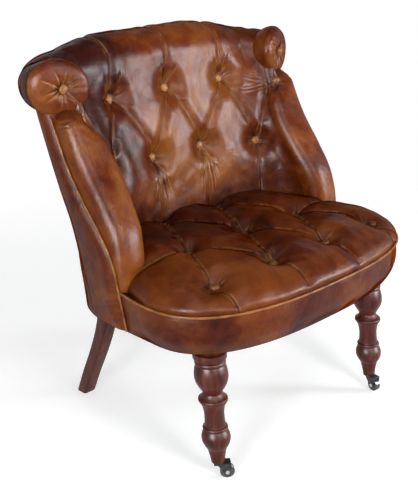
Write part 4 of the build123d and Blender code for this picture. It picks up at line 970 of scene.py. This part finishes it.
for k, place in enumerate(lower):
    for other, bow in ((upper[k], -0.03), (upper[k + 1], 0.03)):
        folds.append((bent_line(place, other, bow), (0.015, 0.0060, 0.0045, 0.0060, 0.012), 0.022))
    line = bent_line(place, (place[0] * 0.985, pleat_foot), rng.uniform(-0.02, 0.02))
    folds.append((line, (0.014, 0.0045, 0.0034, 0.0030), 0.016))
    if k in (1, 2):
        fine_pulls(place, (-0.020, -0.008, 0.012, 0.026), 0.12, -0.012, 0.08, 0.12, 0.0016)
for place in upper[1:-1]:
    line = bent_line(place, (place[0] * 1.01, pleat_top), rng.uniform(-0.015, 0.015))
    folds.append((line, (0.015, 0.0042, 0.0026, 0.0022, 0.0022, 0.0022), 0.016))
    fine_pulls(place, (-0.022, -0.009, 0.010, 0.024), 0.15, 0.010, 0.035, 0.06, 0.0015)
for place in upper[1:-1] + lower:
    creases += star(rng, place, 10, 0.0100, 0.034, 0.0018)
# two long creases pull towards the right outer button, as on the real hide
outer_x, outer_height = upper[-1]
for lift, far in ((0.022, 0.062), (-0.006, 0.088)):
    line = bent_line((outer_x - 0.012, outer_height + lift * 0.4), (outer_x - far, outer_height + lift), 0.08)
    creases.append((line, (0.0014, 0.0012, 0.0), 0.005))
press, cleft_shade, edge_highlight = tufted(flat, buttons, folds, creases)
press = (press**4 + flank_press(lining))**0.25
lumps = 0.0010 * ripple(lining, 0.10, 42) + 0.0004 * ripple(lining, 0.035, 43)
side_ease = rise(run[:, -1:] - np.abs(run), 0, 0.03)
puff = 0.003 + 0.003 * side_ease * fade(press, 0.008)
top_ease = 1 - smooth((rolled_over - 0.85) / 0.15)
lining = lining + across * ((lumps * side_ease + puff - press) * top_ease)[..., None]
thick = 0.003 + 0.027 * (1 - smooth((np.arange(rows) - wall_rows) / 12.0))
lining_back = lining - across * thick[:, None, None]
lining_back[:wall_rows] = wall_back
# painted shade: darker at the bottom by the seat, in the button hollows, to the left and over the roll, most
# at its left; a lighter patch in the lower middle; a painted highlight beside the pleats
low = rise(0.47 - lining[..., 2], 0, 0.07)
deep = rise(press, 0, back_hollow)
to_left = -lining[..., 0]
warm = bell(run - 0.03, 0.12) * bell(flat[..., 1] - 0.50, 0.09)
wall_shade = 0.10 * smooth((to_left - 0.04) / 0.12) + 0.08 * low
roll_shade = smooth(rolled_over * 2) * (0.05 + 0.22 * smooth((to_left - 0.02) / 0.16))
back_pad = sheet_piece("inside_back", lining, lining_back, chestnut, {
    "painted_shade": np.clip(cleft_shade * 0.7 + 0.20 * deep + 0.35 * low**2, 0, 0.9),
    "rub_and_highlight": edge_highlight * 0.6 * patchy(lining, 44),
    "tone_and_shade": 0.12 * warm - 0.03 + 0.03 * ripple(lining, 0.13, 45) - wall_shade - roll_shade}, sharp=75.0)
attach(back_pad, "chair")
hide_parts("buttoned_inside_back")

# Covered buttons: leather stretched over a wooden mould and tied through the padding with
# twine, nine in the inside back, nine in the seat and one in each scroll.
pale_button = leather_finish("button_leather", (0.160, 0.048, 0.011), (0.300, 0.108, 0.028),
                             (0.430, 0.190, 0.062), 0.36)
button_radius, button_height, button_around = 0.0095, 0.0065, 36
# share of the radius and of the height, from the foot to the crown
button_outline = ((0.955, 0.0), (1.0, 0.10), (1.0, 0.24), (0.96, 0.40), (0.86, 0.60), (0.70, 0.78),
                  (0.50, 0.90), (0.27, 0.975), (0.09, 1.0))


def button_piece(name, axes, seed, worn):
    """Domed buttons with a soft edge and a faint gather where the leather goes under."""
    turn = full_turn(button_around)
    points, quads = [], []
    for k, (foot, way) in enumerate(axes):
        rng = np.random.default_rng(seed + k)
        gather = 1 + 0.012 * np.cos(11 * turn + rng.uniform(0, 6))
        gather += 0.02 * np.cos(2 * turn + rng.uniform(0, 6))
        aside = np.cross(way, (0.3, 0.2, 1.0) if abs(way[2]) < 0.8 else (0, 1.0, 0))
        aside /= np.linalg.norm(aside)
        spokes = np.cos(turn)[:, None] * aside + np.sin(turn)[:, None] * np.cross(way, aside)
        rings = np.array([foot + way * (button_height * height)
                          + button_radius * radius * gather[:, None]**(1 - height) * spokes
                          for radius, height in button_outline])
        quads += tube_faces(len(rings), button_around, start=len(points))
        points += [*rings.reshape(-1, 3), rings[0].mean(axis=0), rings[-1].mean(axis=0) + way * 0.00003]
    wear = 0.35 + 0.4 * ripple(np.array(points), 0.012, seed)
    return link_mesh(name, points, quads, pale_button, 60.0, {
        "painted_shade": worn, "rub_and_highlight": np.clip(wear - worn, 0, 0.9), "tone_and_shade": 0.05 - 0.2 * worn})


seat_axes = button_axes("seat_buttons", (0, -0.05, 3.0))
scroll_axes = button_axes("scroll_buttons", (0, -3.0, 0.69))
# the last number darkens a set of buttons through the painted shade mark and a lower tone: painted shade,
# most for the seat's buttons, sunk deep in their hollows
for name, node, axes, seed, worn in (("back_covered_buttons", "back_buttons", back_axes, 51, 0.0),
                                     ("seat_covered_buttons", "seat_buttons", seat_axes, 61, 0.6),
                                     ("scroll_covered_buttons", "scroll_buttons", scroll_axes, 71, 0.25)):
    tufts = button_piece(name, axes, seed, worn)
    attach(tufts, "chair")
    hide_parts(node)

# Wing facings: the stuffed pads down the front of the two wings, widest under the scroll and
# drawn to a point at the seat, with gathers where the leather is tucked up under the scroll.
facing_rows, facing_cols, facing_top, facing_square = 170, 64, 0.670, 2.5
tuck_depth, tuck_start = 0.028, 0.630
heights = np.linspace(cushion_base, facing_top, facing_rows)
at = back_plan(heights)
chord = np.linspace(0, 1, facing_cols)
turn = math.pi * chord
lift, swing = np.abs(np.sin(turn))**(2 / facing_square), np.abs(np.cos(turn))**(2 / facing_square)
end_x = np.where(turn < math.pi / 2, at["edge"], at["inner"])
end_y = np.where(turn < math.pi / 2, at["wing_y"], at["inner_y"])
chord_x = at["edge"] + (at["inner"] - at["edge"]) * chord
chord_y = at["wing_y"] + (at["inner_y"] - at["wing_y"]) * chord + 0.004 * np.sin(math.pi * chord)
tuck = tuck_depth * rise(heights[:, None], tuck_start, 0.040)**1.5
tuck = tuck * (1 - 0.85 * smooth((chord - 0.45) / 0.35))
ease = np.clip(np.sin(math.pi * chord) * 5, 0, 1)
for side, hand in sides:
    pad = rows_at(heights, side * (at["nose_x"] + (end_x - at["nose_x"]) * swing),
                  end_y + (at["nose_y"] - end_y) * lift)
    across = normals_of(pad, (0, -1, 0))
    run = row_lengths(pad)
    flat = np.stack([run, pad[..., 2]], axis=2)
    middle = next(spot for spot in flank_spots if side * spot[0] > 0)
    rng = np.random.default_rng(81 + side)
    creases = star(rng, nearest_place(pad, middle, flat), 9, 0.011, 0.036, 0.0012)
    top_width = run[-1, -1]
    for z, first, last, bow in ((0.634, 0.10, 0.62, -0.05), (0.626, 0.12, 0.50, -0.08)):
        line = bent_line((top_width * first, z), (top_width * last, z + 0.010), bow)
        creases.append((line, (0.0003, 0.0012, 0.0002), 0.0038))
    for _ in range(10):
        z = rng.uniform(0.37, 0.50)
        start = rng.uniform(0.01, 0.06)
        end = (start + rng.uniform(0.010, 0.025), z + rng.uniform(-0.03, 0.03))
        creases.append((bent_line((start, z), end, rng.uniform(-0.2, 0.2)), (0.0, 0.0004, 0.0), 0.004))
    press, cleft_shade, edge_highlight = tufted(flat, [], [], creases)
    press = press + flank_press(pad)**0.25
    soft = 0.0007 * ripple(pad, 0.08, 83 + side, (1, 1, 0.35)) + 0.0002 * ripple(pad, 0.03, 85, (1, 1, 0.5))
    swell = (soft - tuck) * ease + 0.003 * smooth(chord * 3) - press * smooth(chord * 6)
    pad = pad + across * swell[..., None]
    # painted shade under the scroll, where the leather is tucked up, and in the hollow round the outer
    # button; a painted highlight beside the creases
    shade = 0.45 * smooth((heights[:, None] - 0.638) / 0.02) + 0.3 * rise(press, 0, flank_hollow)
    facing = sheet_piece(hand + "_facing", pad, rows_at(heights, side * chord_x, chord_y), chestnut, {
        "painted_shade": np.clip(cleft_shade * 0.7 + shade, 0, 0.9), "rub_and_highlight": edge_highlight * 0.5 * patchy(pad, 86),
        "tone_and_shade": 0.02 + 0.05 * ripple(pad, 0.10, 87, (1, 1, 0.4))}, sharp=75.0)
    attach(facing, "chair")
    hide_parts(hand + "_wing_facing")

# Wing piping: a leather-covered cord in the seam between each facing and the outside cover,
# sewn in by hand and run down to the bottom edge of the apron.
heights = np.linspace(apron_bottom + piping_radius, lining_top, 40)
at = {key: column[:, 0] for key, column in back_plan(heights).items()}
off = piping_radius + clearance
for side, hand in sides:
    line = np.stack([side * (at["edge"] + off * 0.85), at["wing_y"] - off * 0.55, heights], axis=1)
    welt = cord_piece(hand + "_wing_welt", line, piping_radius, pale_tan, 91 + side)
    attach(welt, "chair")
    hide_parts(hand + "_wing_piping")

# Top roll: stuffing rolled over the top rail from scroll to scroll, its leather gathered in
# seams that run over it from each button of the upper row.
roll_rows, roll_around, roll_seam, seam_stations, station_count = 420, 110, 0.0026, (2, 8, 14, 20, 26), 28
share = np.linspace(0, 1, roll_rows)
spine, ahead_way, radius = roll_line(share)
angle = full_turn(roll_around)[None, :]
out = np.cross(ahead_way, upright)
flattened = np.where(np.sin(angle) > 0, roll_top(spine[:, :1]), 1.0)
rings = (spine[:, None, :] + (radius[:, None] * np.cos(angle))[..., None] * out[:, None, :]
         + (radius[:, None] * np.sin(angle) * flattened)[..., None] * upright)
radial = rings - spine[:, None, :]
radial /= np.linalg.norm(radial, axis=2, keepdims=True)
share = share[:, None]
rng = np.random.default_rng(101)
seam, edge_highlight, cleft_shade = (np.zeros(rings.shape[:2]) for _ in range(3))
for station in seam_stations:
    waver = 0.003 * np.sin(angle + rng.uniform(0, 6)) + 0.001 * np.sin(3 * angle + rng.uniform(0, 6))
    gap = (share - station / station_count) * 2 * half_run - waver
    seam = seam + roll_seam * fade(np.abs(gap), 0.016)**2
    edge_highlight = np.maximum(edge_highlight, bell(gap - 0.0022, 0.0013))
    cleft_shade = np.maximum(cleft_shade, bell(gap, 0.0014))
soft = 0.0012 * ripple(rings, 0.14, 102) + 0.0004 * ripple(rings, 0.04, 103)
puff = 0.001 * fade(seam, roll_seam)
ends = np.clip(np.minimum(share, 1 - share) / 0.012, 0, 1)
# the inside back's hide lies over the roll here, so the roll itself keeps clear below it
covered = smooth((angle - 1.40) / 0.35) * (1 - smooth((angle - 4.0) / 0.6))
covered = covered * smooth((0.205 - np.abs(spine[:, :1])) / 0.034)
rings = rings + radial * ((soft + puff) * ends - seam - 0.014 * covered)[..., None]
# painted shade in the seams with a painted highlight beside them, and painted shade darkening the roll
# towards its left end
roll = tube_piece("rolled_top", rings, chestnut, sharp=75.0, marks={
    "painted_shade": np.clip(0.6 * cleft_shade + 0.15 * rise(seam, 0, 0.005), 0, 0.9), "rub_and_highlight": 0.55 * edge_highlight,
    "tone_and_shade": -0.08 + 0.05 * ripple(rings, 0.12, 104) - 0.20 * smooth((share - 0.55) / 0.3)})
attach(roll, "chair")
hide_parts("top_roll")

# Scroll ends: the domed faces of the roll, the leather gathered in pleats round one button
# and seamed to the roll along its rim.
dome_height, dome_radius, dome_rows, dome_cols = 0.038, roll_end_radius, 60, 180
splay, dome_sink, dome_pleats, rim_place = 0.36, 0.0055, 11, 0.33
# share along the bulb, and its radius and height there as shares of the dome's
bulb = ((0, 0.96, -0.32), (0.12, 1.10, 0.0), (0.28, 1.15, 0.38), (0.46, 1.01, 0.76), (0.66, 0.66, 0.95),
        (0.86, 0.27, 0.99), (1.0, 0.0, 1.0))
bulb_share, bulb_radius, bulb_height = zip(*bulb)
share = np.linspace(0, 1, dome_rows)[:, None]
face_radius = dome_radius * table_curve(bulb_share, bulb_radius, share)
face_height = dome_height * table_curve(bulb_share, bulb_height, share)
out_share = np.clip(face_radius / dome_radius, 0, 1)
turn = full_turn(dome_cols)
sink = dome_sink * (1 - rise(face_radius, 0.007, 0.019))**2
for side, hand in sides:
    rng = np.random.default_rng(111 + side)
    gather, pleat_highlight = np.zeros((dome_rows, dome_cols)), np.zeros((dome_rows, dome_cols))
    for k in range(dome_pleats):
        at_turn = 2 * math.pi * (k + rng.uniform(0.25, 0.75)) / dome_pleats
        twist = rng.uniform(-0.25, 0.25)
        gap = np.angle(np.exp(1j * (turn - at_turn - twist * out_share))) * np.maximum(face_radius, 0.004)
        reach = rng.uniform(0.65, 1.0)
        strength = rise(reach - out_share, 0, 0.3) * rise(out_share, 0, 0.2)
        gather = gather + rng.uniform(0.0012, 0.0026) * strength * fade(np.abs(gap), 0.0055)**1.6
        pleat_highlight = np.maximum(pleat_highlight, strength * bell(gap - 0.0016, 0.0011))
    centre = np.array((side * roll_half, roll_end_y - clearance, roll_height - roll_drop))
    round_way = rows_at(out_share[:, 0], np.cos(turn) + 0 * share, np.sin(turn) + 0 * share)
    rad = face_radius * (1 + 0.02 * np.cos(2 * turn + 0.5)) + 0.0006 * ripple(round_way, 1.2, 113)
    high = face_height - gather - sink - 0.0012 * bell(share - rim_place, 0.016)
    high = high - side * rad * np.cos(turn) * splay * smooth(face_height / dome_height * 1.6)
    rings = centre + np.stack([rad * np.cos(turn), -high, rad * np.sin(turn)], axis=2)
    foot = dome_radius * 0.6 * np.stack([np.cos(turn), 0 * turn, np.sin(turn)], axis=1) + centre
    # painted shade in the gathers, the sunk middle and the rim seam, a painted highlight beside the pleats,
    # and darker towards the top of the face
    shade = 0.54 * rise(gather, 0, 0.003) + 0.4 * sink / dome_sink + 0.5 * bell(share - rim_place, 0.012)
    marks = {"painted_shade": np.clip(shade, 0, 0.9), "rub_and_highlight": 0.55 * pleat_highlight,
             "tone_and_shade": 0.05 - 0.13 * smooth((np.sin(turn) * out_share - 0.25) / 0.6)}
    marks = {key: np.concatenate([values[:1], values]) for key, values in marks.items()}
    rings = np.concatenate([foot[None], rings])
    scroll = tube_piece(hand + "_scroll_face", rings, chestnut, sharp=75.0, marks=marks)
    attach(scroll, "chair")
    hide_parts(hand + "_scroll_end")
